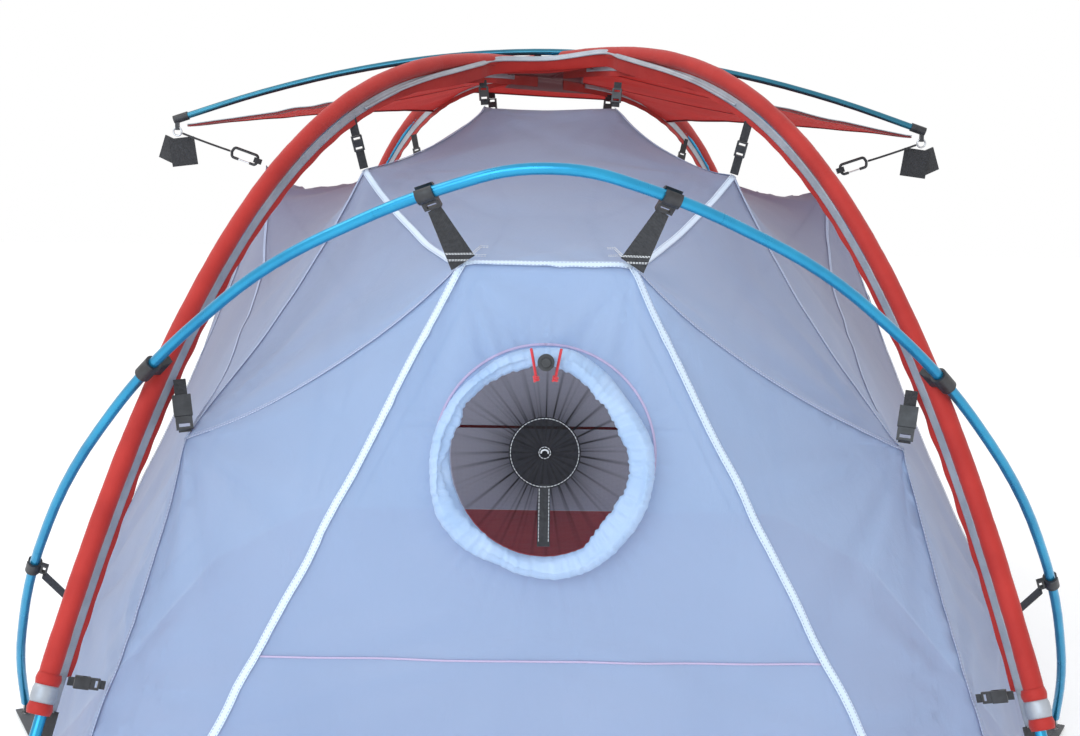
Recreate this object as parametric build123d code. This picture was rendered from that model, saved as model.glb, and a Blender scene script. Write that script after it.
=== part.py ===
"""Two-person dome tent: crossed main poles in sleeves, end hoops, a brow pole and a hung inner tent.

The frame's origin is the middle of the floor at ground level. +X is to the right seen from the front
end, +Y points from the front end (the one with the vent) to the rear end, and +Z is up. Millimetres.
Most pieces are made once for the right-hand front quarter and mirrored to the other quarters.
"""

import math
import os
from build123d import *

os.makedirs("parts", exist_ok=True)

# Driving dimensions -------------------------------------------------------------------------------
FOOT_X, FOOT_Y = 610, 1075          # feet of the crossed main poles
CROWN_HIGH, CROWN_LOW = 1030, 1016  # centre heights of the upper and the lower main pole at the crown
ARCH_POWER = 3.2                    # the arch is crown * (1 - t ** ARCH_POWER), t = 1 at the foot
POLE_R, POLE_WALL = 6.5, 0.9        # main and hoop poles
BROW_R = 5.5                        # brow pole
SECTIONS = 8                        # tube sections in each long pole
JOINT_GAP = 0.2                     # space between two sections' ends
FERRULE_LENGTH, FERRULE_PLAY = 60, 0.05

HOOP_FOOT_Y = 395                   # the hoops' feet, and how far they lean out per mm of height
HOOP_LEAN = 0.775
# Half of a hoop seen from its end of the tent, as (x, height), from the foot to the bent centre.
HOOP_HALF = [(790, 0), (766, 120), (706, 275), (608, 445), (468, 606), (305, 735), (150, 806), (40, 840)]

BROW_X, BROW_TIP_Z, BROW_CROWN_Z = 640, 920, 1044
BROW_POWER = 1.9

SLEEVE_R, SLEEVE_BORE = 12, 7.0     # fabric tunnel round a pole
CUFF_LOW, CUFF_HIGH, CUFF_R = 226, 268, 13.5    # the hem cuff at a sleeve's lower end, by height
SLEEVE_SHORT = 95                   # how far from the crown a sleeve ends, along the pole
SLEEVE_PIECES = 5
TIP_LENGTH, TIP_R = 26, 5           # end tip of a pole, by height above the ground

FABRIC = 1.5                        # thickness of the plain solids that stand for cloth
SEAM = 3.0                          # how far each panel stays back from the edge it shares
ROOF_Z = 940

# Points where the inner tent is held, for the quarter x > 0, y < 0.
ROOF_FRONT = (91, -980, 736)
ROOF_SIDE = (262, -465, 836)
ROOF_TOP = (104, -190, ROOF_Z)
SHOULDER = (488, 0, 841)
CROSS_ANCHOR = (432, -830, 512)
LOW_ANCHOR = (495, -949, 244)
HOOP_ANCHOR = (651, -580, 228)
CORNER = (580, -1045, 0)
FLOOR_SIDE = (712, -540, 0)
FRONT_SEAM_FOOT = (475, -1052, 0)

DOOR_LOW, DOOR_HIGH = 110, 640      # heights of the doorway's sill and head
DOOR_HALF_LOW, DOOR_HALF_HIGH = 330, 95
DOOR_GAP = 2.0

VENT_Z, VENT_RX, VENT_RZ = 531, 104, 112
COLLAR_DEPTH, COLLAR_FLARE = 34, 18
MESH_DEPTH, DISC_R = 30, 40

WEB_THICK = 1.6
CLIP_LENGTH, CLIP_WALL = 20, 3.2
BUCKLE = (26, 22, 8)                # a side-release socket: length along the strap, width, thickness
PLUG = (16, 20, 6)
SMALL = 0.66                        # size of the lower buckles against the upper ones


# Helpers ------------------------------------------------------------------------------------------
def fillet_radii(points):
    """The largest round at each corner that leaves a tenth of each run straight."""
    corner = [Vector(*p) for p in points]
    radii = []
    for before, here, after in zip(corner, corner[1:], corner[2:]):
        half_turn = math.radians((here - before).get_angle(after - here)) / 2
        run = min((here - before).length, (after - here).length)
        radii.append(0.45 * run / math.tan(half_turn))
    return radii


def smooth_path(points):
    """Straight runs through the points with tangent arcs at the corners."""
    if len(points) == 2:
        return Wire([Line(*points)])
    return FilletPolyline(*points, radius=fillet_radii(points))


def tube(path, outer, inner=0):
    """A round tube or rod along a path."""
    section = Plane(origin=path @ 0, z_dir=path % 0) * Circle(outer)
    if inner:
        section -= Plane(origin=path @ 0, z_dir=path % 0) * Circle(inner)
    return sweep(section, path=path)


def rod(points, radius):
    return tube(smooth_path(points), radius)


def across(shape):
    """The same piece on the other side, x to -x."""
    return mirror(shape, about=Plane.YZ)


def behind(shape):
    """The same piece at the other end, y to -y."""
    return mirror(shape, about=Plane.XZ)


def pair(shape):
    return [shape, across(shape)]


def four(shape):
    return pair(shape) + pair(behind(shape))


def group(pieces):
    """Several solids in one node."""
    solids = []
    for piece in pieces:
        solids += piece.solids()
    return Compound(children=solids)


def flip(point, side=1, end=1):
    return (side * point[0], end * point[1], point[2])


def strap(start, stop, width, normal, thick=WEB_THICK, stop_width=None):
    """Flat webbing from one point to another, tapering if the second width differs."""
    a, b = Vector(*start), Vector(*stop)
    run = b - a
    plane = Plane(origin=a, x_dir=run, z_dir=Vector(*normal) - run * (Vector(*normal).dot(run) / run.dot(run)))
    half, far = width / 2, (stop_width or width) / 2
    outline = Polyline((0, -half), (run.length, -far), (run.length, far), (0, half), close=True)
    flat = extrude(make_face(outline), amount=thick / 2, both=True)
    return plane * flat


def panel(*points, inset=SEAM, thick=FABRIC):
    """A flat piece of cloth through three or more points, set in from its edges, on the inner side."""
    corner = [Vector(*p) for p in points]
    x_dir = (corner[1] - corner[0]).normalized()
    normal = x_dir.cross(corner[2] - corner[0]).normalized()
    middle = sum(corner, Vector(0, 0, 0)) / len(corner)
    if normal.dot(Vector(0, 0, ROOF_Z / 3) - middle) < 0:
        normal = normal * -1
    plane = Plane(origin=corner[0], x_dir=x_dir, z_dir=normal)
    flat = [plane.to_local_coords(c) for c in corner]
    face = make_face(Polyline(*[(p.X, p.Y) for p in flat], close=True))
    if inset:
        face = offset(face, amount=-inset, kind=Kind.INTERSECTION)
    return plane * extrude(face, amount=thick)


def frame_at(origin, x_dir, z_dir):
    """A plane with the given x direction whose z is the part of z_dir square to it."""
    x = Vector(*x_dir).normalized()
    z = Vector(*z_dir)
    return Plane(origin=Vector(*origin), x_dir=x, z_dir=z - x * z.dot(x))


# Curves -------------------------------------------------------------------------------------------
def main_point(t, crown):
    """A point of the main pole that stands on the right front foot at t = 1."""
    return (FOOT_X * t, -FOOT_Y * t, crown * (1 - abs(t) ** ARCH_POWER))


def hoop_point(x, height):
    return (x, -(HOOP_FOOT_Y + HOOP_LEAN * height), height)


def brow_point(t):
    rise = BROW_CROWN_Z - BROW_TIP_Z
    return (BROW_X * t, 0, BROW_TIP_Z + rise * (1 - abs(t) ** BROW_POWER))


def arch_path(crown, runs=14):
    """The whole main pole, from its right front foot over the crown to its left rear foot."""
    return smooth_path([main_point(1 - 2 * k / runs, crown) for k in range(runs + 1)])


def hoop_path():
    half = [hoop_point(x, z) for x, z in HOOP_HALF]
    return smooth_path(half + [flip(p, side=-1) for p in reversed(half)])


def share_at(path, height):
    """How far along its length, from 0 to 0.5, a pole's rising half reaches a height."""
    low, high = 0.0, 0.5
    for _ in range(24):
        middle = (low + high) / 2
        if (path @ middle).Z < height:
            low = middle
        else:
            high = middle
    return low


def leg_spot(height):
    """A point of the right front leg at a height, and the direction up the pole there."""
    path = arch_path((CROWN_HIGH + CROWN_LOW) / 2)
    share = share_at(path, height)
    return path @ share, path % share


def hoop_spot(height):
    """The same for the front hoop's right half."""
    path = hoop_path()
    share = share_at(path, height)
    return path @ share, path % share


def sections(path, radius, count, tip=0.0):
    """The tube sections of a pole, end to end, and the ferrules inside its joints."""
    tubes, ferrules = [], []
    path = path.trim(tip, 1 - tip) if tip else path
    gap = JOINT_GAP / path.length
    play = FERRULE_LENGTH / path.length
    for k in range(count):
        start = k / count + (gap / 2 if k else 0)
        stop = (k + 1) / count - (gap / 2 if k < count - 1 else 0)
        tubes.append(tube(path.trim(start, stop), radius, radius - POLE_WALL))
        if k:
            middle = path.trim(k / count - play / 2, k / count + play / 2)
            ferrules.append(tube(middle, radius - POLE_WALL - FERRULE_PLAY))
    return tubes, ferrules


# Poles --------------------------------------------------------------------------------------------
def poles():
    nodes = {}
    right = arch_path(CROWN_HIGH)
    left = arch_path(CROWN_LOW)
    hoop = hoop_path()
    brow = smooth_path([brow_point(1 - k / 5) for k in range(11)])
    main_tip, hoop_tip = share_at(right, TIP_LENGTH), share_at(hoop, TIP_LENGTH)
    right_tubes, right_ferrules = sections(right, POLE_R, SECTIONS, main_tip)
    left_tubes, left_ferrules = sections(left, POLE_R, SECTIONS, main_tip)
    hoop_tubes, hoop_ferrules = sections(hoop, POLE_R, SECTIONS - 1, hoop_tip)
    brow_tubes, brow_ferrules = sections(brow, BROW_R, 3)
    nodes["main_pole_right"] = group(right_tubes)
    nodes["main_pole_left"] = group(across(piece) for piece in left_tubes)
    nodes["front_hoop_pole"] = group(hoop_tubes)
    nodes["rear_hoop_pole"] = group(behind(piece) for piece in hoop_tubes)
    nodes["brow_pole"] = group(brow_tubes)
    ferrules = right_ferrules + [across(piece) for piece in left_ferrules] + hoop_ferrules
    nodes["pole_ferrules"] = group(ferrules + [behind(piece) for piece in hoop_ferrules] + brow_ferrules)
    return nodes


# Sleeves, crown cap and wings -----------------------------------------------------------------------
def sleeve_leg(crown):
    """The tunnel round one leg of a main pole, in pieces along its curve."""
    path = arch_path(crown)
    start = share_at(path, CUFF_HIGH)
    stop = 0.5 - SLEEVE_SHORT / path.length
    step = (stop - start) / SLEEVE_PIECES
    gap = JOINT_GAP / path.length
    pieces = []
    for k in range(SLEEVE_PIECES):
        piece = path.trim(start + step * k + gap, start + step * (k + 1))
        pieces.append(tube(piece, SLEEVE_R, SLEEVE_BORE))
    return pieces


def cuff(crown):
    path = arch_path(crown)
    return tube(path.trim(share_at(path, CUFF_LOW), share_at(path, CUFF_HIGH)), CUFF_R, SLEEVE_BORE)


def end_strap(crown):
    """Webbing from a cuff down to the foot, on the pole's inner side."""
    path = arch_path(crown)
    aside = Vector(-9, 16, 0)
    top, low = path @ share_at(path, CUFF_LOW - 4), path @ share_at(path, TIP_LENGTH / 2)
    return strap(top + aside, low + aside, 16, (0.49, -0.87, 0.1))


def sleeves():
    nodes = {}
    high, low = sleeve_leg(CROWN_HIGH), sleeve_leg(CROWN_LOW)
    nodes["sleeve_front_right"] = group(high)
    nodes["sleeve_rear_left"] = group(across(behind(piece)) for piece in high)
    nodes["sleeve_front_left"] = group(across(piece) for piece in low)
    nodes["sleeve_rear_right"] = group(behind(piece) for piece in low)
    nodes["sleeve_cuffs"] = group(four_legs(cuff))
    nodes["sleeve_end_straps"] = group(four_legs(end_strap))
    return nodes


def four_legs(make):
    """One piece on each leg, as the two main poles differ a little in height."""
    high, low = make(CROWN_HIGH), make(CROWN_LOW)
    return [high, across(behind(high)), across(low), behind(low)]


CAP_X, CAP_Y, CAP_NOTCH, CAP_Z = 118, 190, 96, 984
WING_TIP_X, WING_TIP_Z = 622, 905


def crown_cap():
    """The web between the sleeves, below the crossed poles, with notched front and rear edges."""
    halves = []
    for side in (1, -1):
        points = [(0, -(CAP_Y - 60)), (CAP_NOTCH, -CAP_Y), (CAP_X, -CAP_Y), (CAP_X, CAP_Y)]
        points += [(CAP_NOTCH, CAP_Y), (0, CAP_Y - 60)]
        face = make_face(Polyline(*[(side * (x + 0.2), y) for x, y in points], close=True))
        halves.append(Pos(0, 0, CAP_Z) * extrude(face, amount=FABRIC))
    return halves


def wing():
    """A triangle of cloth from the crown cap's edge out to the brow pole's tip."""
    inner_x = CAP_X + 1
    near = (inner_x, -CAP_Y, CAP_Z)
    far = (inner_x, CAP_Y, CAP_Z)
    return panel(near, (WING_TIP_X, -6, WING_TIP_Z), (WING_TIP_X, 6, WING_TIP_Z), far, inset=0)


# Inner tent ---------------------------------------------------------------------------------------
def vent_face(grow):
    """An upright ellipse about the vent's centre, in the end panel's own plane."""
    return Ellipse(VENT_RX + grow, VENT_RZ + grow)


def end_plane():
    """The front end panel's plane at the vent's centre, with z pointing out of the tent."""
    low, high = Vector(*FRONT_SEAM_FOOT), Vector(*ROOF_FRONT)
    share = VENT_Z / high.Z
    y = low.Y + (high.Y - low.Y) * share
    up = Vector(0, high.Y - low.Y, high.Z)
    return Plane(origin=(0, y, VENT_Z), x_dir=(1, 0, 0), z_dir=Vector(1, 0, 0).cross(up))


def end_panel():
    return panel(flip(ROOF_FRONT, -1), ROOF_FRONT, FRONT_SEAM_FOOT, flip(FRONT_SEAM_FOOT, -1))


def end_panel_with_vent():
    """The front end panel, cut by the vent and split into simple pieces round it."""
    cutter = end_plane() * extrude(vent_face(0), amount=20, both=True)
    whole = end_panel() - cutter
    reach, slit = 700, 0.4
    pieces = []
    left_half = Pos(-reach / 2 - slit / 2, FRONT_SEAM_FOOT[1], reach / 2) * Box(reach, 400, 3 * reach)
    for half in (left_half, across(left_half)):
        side = whole & half
        for low, high in ((-reach, VENT_Z - VENT_RZ * 0.7), (VENT_Z - VENT_RZ * 0.7, VENT_Z),
                          (VENT_Z, VENT_Z + VENT_RZ * 0.7), (VENT_Z + VENT_RZ * 0.7, 2 * reach)):
            height = high - low - slit
            slab = Pos(0, FRONT_SEAM_FOOT[1], (low + high) / 2) * Box(3 * reach, 400, height)
            pieces.append(side & slab)
    return pieces


def corner_panel():
    """The cloth between the end panel's seam and the main pole's line, down to the corner."""
    return [
        panel(ROOF_FRONT, CROSS_ANCHOR, FRONT_SEAM_FOOT),
        panel(FRONT_SEAM_FOOT, CROSS_ANCHOR, LOW_ANCHOR),
        panel(FRONT_SEAM_FOOT, LOW_ANCHOR, CORNER),
        panel(ROOF_FRONT, ROOF_SIDE, CROSS_ANCHOR),
    ]


def side_panel():
    """The cloth outside the main pole's line, from the roof down to the floor's edge."""
    return [
        panel(ROOF_SIDE, SHOULDER, CROSS_ANCHOR),
        panel(SHOULDER, HOOP_ANCHOR, CROSS_ANCHOR),
        panel(HOOP_ANCHOR, LOW_ANCHOR, CROSS_ANCHOR),
        panel(HOOP_ANCHOR, CORNER, LOW_ANCHOR),
        panel(HOOP_ANCHOR, FLOOR_SIDE, CORNER),
    ]


def wall_point(y, z):
    """A point of the side wall, which leans in from the floor's edge to the shoulder."""
    return (FLOOR_SIDE[0] + (SHOULDER[0] - FLOOR_SIDE[0]) * z / SHOULDER[2], y, z)


def wall_half_width(z):
    """Half the side wall's length at a height."""
    if z < HOOP_ANCHOR[2]:
        return -FLOOR_SIDE[1] + (FLOOR_SIDE[1] - HOOP_ANCHOR[1]) * z / HOOP_ANCHOR[2]
    return -HOOP_ANCHOR[1] * (SHOULDER[2] - z) / (SHOULDER[2] - HOOP_ANCHOR[2])


def wall_panel(*outline):
    return panel(*[wall_point(y, z) for y, z in outline], inset=1.0)


def side_wall():
    """The wall round the doorway: a sill, two jambs and a head."""
    sill = wall_half_width(DOOR_LOW) - SEAM
    head = wall_half_width(DOOR_HIGH) - SEAM
    wide = -HOOP_ANCHOR[1] - SEAM
    floor = -FLOOR_SIDE[1] - SEAM
    jamb = ((sill, DOOR_LOW), (DOOR_HALF_LOW, DOOR_LOW), (DOOR_HALF_HIGH, DOOR_HIGH), (head, DOOR_HIGH))
    jamb += ((wide, HOOP_ANCHOR[2]),)
    tip_z = SHOULDER[2] - 12
    return [
        wall_panel((-floor, 2 * SEAM), (floor, 2 * SEAM), (sill, DOOR_LOW), (-sill, DOOR_LOW)),
        wall_panel(*jamb),
        wall_panel(*[(-y, z) for y, z in jamb]),
        wall_panel((-head, DOOR_HIGH), (head, DOOR_HIGH), (4, tip_z), (-4, tip_z)),
    ]


def door():
    """The door that closes the doorway, a little smaller all round for its zip."""
    outline = [(-DOOR_HALF_LOW, DOOR_LOW), (DOOR_HALF_LOW, DOOR_LOW)]
    outline += [(DOOR_HALF_HIGH, DOOR_HIGH), (-DOOR_HALF_HIGH, DOOR_HIGH)]
    return panel(*[wall_point(y, z) for y, z in outline], inset=DOOR_GAP)


def floor():
    corners = [CORNER, FLOOR_SIDE, flip(FLOOR_SIDE, end=-1), flip(CORNER, end=-1)]
    corners += [flip(c, side=-1) for c in reversed(corners)]
    face = make_face(Polyline(*[(x, y) for x, y, _ in corners], close=True))
    return extrude(face, amount=FABRIC)


def inner_tent():
    corner, side = corner_panel(), side_panel()
    nodes = {
        "front_end_panel": group(end_panel_with_vent()),
        "rear_end_panel": behind(end_panel()),
        "floor": floor(),
    }
    slope = panel(flip(ROOF_FRONT, -1), ROOF_FRONT, ROOF_SIDE, flip(ROOF_SIDE, -1))
    crest = panel(flip(ROOF_SIDE, -1), ROOF_SIDE, ROOF_TOP, flip(ROOF_TOP, -1))
    ridge = panel(flip(ROOF_TOP, -1), ROOF_TOP, flip(ROOF_TOP, end=-1), flip(ROOF_TOP, -1, -1))
    nodes["roof_panel"] = group([slope, crest, ridge, behind(slope), behind(crest)])
    over = panel(ROOF_TOP, ROOF_SIDE, SHOULDER)
    crown = panel(ROOF_TOP, SHOULDER, flip(ROOF_TOP, end=-1))
    shoulder = [over, crown, behind(over)]
    for name, turn in (("right", lambda piece: piece), ("left", across)):
        nodes["shoulder_panel_" + name] = group(turn(piece) for piece in shoulder)
        nodes["corner_panel_front_" + name] = group(turn(piece) for piece in corner)
        nodes["corner_panel_rear_" + name] = group(turn(behind(piece)) for piece in corner)
        nodes["side_panel_front_" + name] = group(turn(piece) for piece in side)
        nodes["side_panel_rear_" + name] = group(turn(behind(piece)) for piece in side)
        nodes["side_wall_" + name] = group(turn(piece) for piece in side_wall())
        nodes["door_" + name] = turn(door())
    return nodes


# Vent ---------------------------------------------------------------------------------------------
def vent():
    plane = end_plane()
    edge = Pos(0, 0, 1) * vent_face(6)
    mouth = Pos(0, 0, 1 + COLLAR_DEPTH) * vent_face(COLLAR_FLARE)
    inner_edge = Pos(0, 0, 1) * vent_face(2)
    inner_mouth = Pos(0, 0, 1 + COLLAR_DEPTH) * vent_face(COLLAR_FLARE - 6)
    collar = loft([edge, mouth]) - loft([inner_edge, inner_mouth])
    rim = Pos(0, 0, -2) * vent_face(-2)
    apex = Pos(0, 0, -2 - MESH_DEPTH) * Ellipse(DISC_R + 2, DISC_R + 2)
    rim_inside = Pos(0, 0, -2) * vent_face(-4)
    apex_inside = Pos(0, 0, -2 - MESH_DEPTH) * Ellipse(DISC_R, DISC_R)
    mesh = loft([rim, apex]) - loft([rim_inside, apex_inside])
    disc = Pos(0, 0, -2 - MESH_DEPTH) * Cylinder(DISC_R - 0.5, FABRIC)
    low_edge = (0, -(VENT_RZ - 12), -MESH_DEPTH * 0.1 + 4)
    strip = strap((0, -(DISC_R - 4), -MESH_DEPTH + 2), low_edge, 14, (0, 0, 1))
    top = VENT_RZ + COLLAR_FLARE - 6
    lock_at = Pos(0, top - 22, COLLAR_DEPTH + 12)
    shell = Cylinder(9, 20) - Cylinder(5.2, 24)
    lock = lock_at * (shell - Box(8, 30, 5) + Pos(0, 0, -9) * Cylinder(9, 2))
    button = lock_at * Pos(0, 0, 7.5) * (Cylinder(5, 13) - Pos(0, 0, -3) * Box(6, 12, 4))
    cord_points = [(16, top - 8, COLLAR_DEPTH + 5), (13, top - 22, COLLAR_DEPTH + 14)]
    cord_points += [(10, top - 40, COLLAR_DEPTH + 8)]
    cord = [rod(cord_points, 1.6), rod([(-x, y, z) for x, y, z in cord_points], 1.6)]
    return {
        "vent_collar": plane * collar,
        "vent_mesh": plane * mesh,
        "vent_mesh_disc": plane * disc,
        "vent_webbing": plane * strip,
        "vent_cord_lock": plane * lock,
        "vent_cord_lock_button": plane * button,
        "vent_drawcord": group(plane * piece for piece in cord),
    }


# Hardware -----------------------------------------------------------------------------------------
def c_clip(at, along, outward, bore):
    """A C-shaped clip snapped over a pole, with a strap bar on the side away from its mouth."""
    plane = frame_at(at, along, outward)
    ring = Rot(0, 90, 0) * (Cylinder(bore + CLIP_WALL, CLIP_LENGTH) - Cylinder(bore, CLIP_LENGTH + 2))
    mouth = Pos(0, 0, bore + 3) * Box(CLIP_LENGTH + 2, bore, bore + 8)
    bar = Pos(0, 0, -(bore + CLIP_WALL + 4)) * (Box(CLIP_LENGTH, 5, 10) - Pos(0, 0, -0.5) * Box(12, 6, 4))
    return plane * (ring - mouth + bar)


def buckle_on(start, stop, normal, share, size=1.0):
    """A side-release buckle on the line of a strap, as its socket, its plug and the strap's two ends."""
    a, b = Vector(*start), Vector(*stop)
    axis = (b - a).normalized()
    middle = a + (b - a) * share
    plane = frame_at(middle, axis, normal)
    length, width, thick = [size * d for d in BUCKLE]
    plug_length, plug_width, plug_thick = [size * d for d in PLUG]
    pocket_end = length / 2 - 1
    body = Box(length, width, thick)
    body -= Pos(pocket_end / 2 + 1, 0, 0) * Box(pocket_end, width * 0.74, thick * 0.56)
    body -= Pos(length * 0.16, 0, 0) * Box(length * 0.34, width + 2, thick * 0.52)
    bar_at = length / 2 + plug_length / 2 + 0.5
    bar = Pos(bar_at, 0, 0) * (Box(plug_length, plug_width, plug_thick)
                               - Pos(plug_length * 0.16, 0, 0) * Box(plug_length * 0.3, plug_width * 0.66, 9))
    reach = length * 0.42
    for y, prong in ((0, width * 0.18), (width * 0.28, width * 0.12), (-width * 0.28, width * 0.12)):
        bar += Pos(length / 2 + 0.6 - reach / 2, y, 0) * Box(reach, prong, thick * 0.4)
    ends = [strap(a, middle - axis * (length / 2 + 0.5), width * 0.68, normal)]
    ends.append(strap(middle + axis * (bar_at + plug_length / 2 + 0.5), b, width * 0.68, normal))
    return plane * body, plane * bar, ends


def hardware():
    nodes = {}
    bore = POLE_R + 0.3

    # Clips on the hoops, and the straps from them to the inner tent.
    top_at, top_along = hoop_spot(812)
    side_at, side_along = hoop_spot(296)
    down = Vector(*ROOF_FRONT) - top_at
    inward = Vector(*HOOP_ANCHOR) - side_at
    clips = [c_clip(top_at, top_along, down * -1, bore), c_clip(side_at, side_along, inward * -1, bore)]
    reach = bore + CLIP_WALL + 10
    top_start = top_at + down.normalized() * reach
    side_start = side_at + inward.normalized() * reach
    straps = [
        strap(top_start, Vector(*ROOF_FRONT) - down.normalized() * 2, 15, (0, -1, 0.4), stop_width=30),
        strap(side_start, Vector(*HOOP_ANCHOR) - inward.normalized() * 5, 14, (0, -0.6, 1)),
    ]
    nodes["hoop_clips"] = group(piece for clip in clips for piece in four(clip))
    nodes["hoop_straps"] = group(piece for web in straps for piece in four(web))

    # The moulded connectors where a hoop crosses the main poles.
    cross_at, cross_along = hoop_spot(600)
    pole_at, pole_along = leg_spot(590)
    toward = pole_at - cross_at
    plane = frame_at(cross_at, cross_along, toward * -1)
    ring = Rot(0, 90, 0) * (Cylinder(bore + CLIP_WALL, 26) - Cylinder(bore, 30))
    depth = toward.dot(plane.z_dir * -1) - SLEEVE_R - 3
    foot_low, foot_high = bore + CLIP_WALL - 1.5, depth
    web_profile = Polyline((-8, -foot_low), (8, -foot_low), (15, -foot_high), (-15, -foot_high), close=True)
    web = extrude(Plane.XZ * make_face(web_profile), amount=6, both=True)
    nodes["crossing_connectors"] = group(four(plane * (ring + web)))

    # Buckles from the crossings and from low on the sleeves to the inner tent.
    sockets, plugs = [], []
    for name, height, anchor, facing, share, size in (
        ("crossing_straps", 590, CROSS_ANCHOR, (-0.3, -1, 0.3), 0.5, 1.0),
        ("lower_straps", 262, LOW_ANCHOR, (0.3, -1, 0.2), 0.38, SMALL),
    ):
        at, along = leg_spot(height)
        aim = Vector(*anchor) - at
        aside = (aim - along * aim.dot(along)).normalized()
        start = at + aside * (SLEEVE_R + 9 * size)
        stop = Vector(*anchor) - (Vector(*anchor) - start).normalized() * 8 * size
        socket, plug, ends = buckle_on(start, stop, facing, share, size)
        sockets += four(socket)
        plugs += four(plug)
        nodes[name] = group(piece for end in ends for piece in four(end))
    nodes["buckle_sockets"] = group(sockets)
    nodes["buckle_plugs"] = group(plugs)
    return nodes


def hanging_hardware():
    """Clips between the sleeves or the crown cap and the roof, with their webbing."""
    nodes = {}
    clips, webs = [], []
    for top, anchor in (
        (Vector(*main_point(0.463, CROWN_LOW)) + Vector(-4, 12, -18), Vector(*ROOF_SIDE)),
        (Vector(CAP_X - 10, -CAP_Y + 4, CAP_Z - 2), Vector(*ROOF_TOP)),
    ):
        axis = (anchor - top).normalized()
        length = (anchor - top).length
        facing = (-0.2, -1, 0.2)
        plane = frame_at(top + axis * length * 0.5, axis, facing)
        body = Box(22, 15, 6) - Pos(-7, 0, 0) * Box(4, 10, 8) - Pos(7, 0, 0) * Box(4, 10, 8)
        clips += four(plane * body)
        webs += four(strap(top, top + axis * (length * 0.5 - 11.5), 12, facing))
        webs += four(strap(top + axis * (length * 0.5 + 11.5), anchor - axis * 3, 12, facing))
    nodes["roof_clips"] = group(clips)
    nodes["roof_clip_straps"] = group(webs)
    return nodes


# Brow pole's ends: caps, rings, tabs, cords and snap hooks ------------------------------------------
HOOK_LENGTH, HOOK_WIDTH, HOOK_R = 52, 22, 2.4
RING_R, LOOP_WIDTH = 7, 9


def tip_line():
    """From the ring at the right brow tip to the loop on the shoulder."""
    tip = Vector(BROW_X + 2, 0, BROW_TIP_Z - 22)
    end = Vector(SHOULDER[0] + 8, 0, SHOULDER[2] + 6)
    return tip, end


def hook_plane():
    tip, end = tip_line()
    axis = (end - tip).normalized()
    return Plane(origin=end - axis * (HOOK_LENGTH / 2 + 6), x_dir=axis, z_dir=(0, -1, 0))


def hook_body():
    """A long ring with a gap on its upper side, which the gate closes."""
    half, wide = HOOK_LENGTH / 2 - HOOK_WIDTH / 2, HOOK_WIDTH / 2 - HOOK_R
    route = [(half - 4, wide), (half + 6, wide), (half + wide, 0), (half + 6, -wide)]
    route += [(-half - 6, -wide), (-half - wide, 0), (-half - 6, wide), (-half + 6, wide)]
    path = FilletPolyline(*route, radius=5)
    return tube(Wire(path.edges()), HOOK_R)


def hook_gate():
    half, wide = HOOK_LENGTH / 2 - HOOK_WIDTH / 2, HOOK_WIDTH / 2 - HOOK_R
    return rod([(-half + 6.4, wide, 0), (half - 4.4, wide, 0)], 1.3)


def brow_cap(ring_centre):
    """A moulded cup over the brow pole's end, with an eye below it for the ring."""
    path = smooth_path([brow_point(1 - k / 5) for k in range(11)])
    plane = Plane(origin=path @ 0, z_dir=(path % 0) * -1)
    cup = Pos(0, 0, -5) * Cylinder(BROW_R + 1.8, 26) - Pos(0, 0, -9) * Cylinder(BROW_R + 0.15, 18.4)
    eye_z = ring_centre.Z + RING_R
    eye = Pos(ring_centre.X, 0, eye_z + 4) * Box(6, 9, 17)
    eye -= Pos(ring_centre.X, 0, eye_z) * Rot(0, 90, 0) * Cylinder(2.7, 10)
    return plane * cup + (eye - plane * Pos(0, 0, -9) * Cylinder(BROW_R + 0.15, 18.4))


def shoulder_loop(plane):
    """Webbing folded round the hook's far end and sewn to the shoulder."""
    inside = HOOK_LENGTH / 2 - 2 * HOOK_R - 3.5
    apart = HOOK_R + 1.0
    reach = HOOK_LENGTH / 2 + 3
    fold = Pos(inside, 0, 0) * Box(WEB_THICK, LOOP_WIDTH, 2 * apart + WEB_THICK)
    for z in (apart, -apart):
        fold += Pos((inside + reach) / 2, 0, z) * Box(reach - inside, LOOP_WIDTH, WEB_THICK)
    fold += Pos(reach, 0, 0) * Box(WEB_THICK, LOOP_WIDTH, 2 * apart + WEB_THICK)
    return plane * fold


def brow_ends():
    tip, _ = tip_line()
    cap = brow_cap(tip)
    ring = Pos(*tip) * Rot(90, 0, 0) * Torus(RING_R, 1.5)
    plane = hook_plane()
    cord_end = plane.origin - plane.x_dir * (HOOK_LENGTH / 2 + 0.6)
    cord_start = tip + plane.x_dir * (RING_R + 2.2)
    tab = strap(tip + Vector(-4, 9, -10), tip + Vector(-10, 12, -58), 44, (0, -1, 0), thick=3)
    other_tab = strap(tip + Vector(10, 14, -12), tip + Vector(24, 22, -50), 34, (0.3, -1, 0), thick=3)
    return {
        "brow_pole_caps": group(pair(cap)),
        "brow_tip_rings": group(pair(ring)),
        "brow_tip_tabs": group(pair(tab) + pair(other_tab)),
        "tip_cords": group(pair(rod([cord_start, cord_end], 1.8))),
        "shoulder_loops": group(pair(shoulder_loop(plane))),
        "snap_hook_right": plane * hook_body(),
        "snap_hook_left": across(plane * hook_body()),
        "snap_gate_right": plane * hook_gate(),
        "snap_gate_left": across(plane * hook_gate()),
    }


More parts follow.
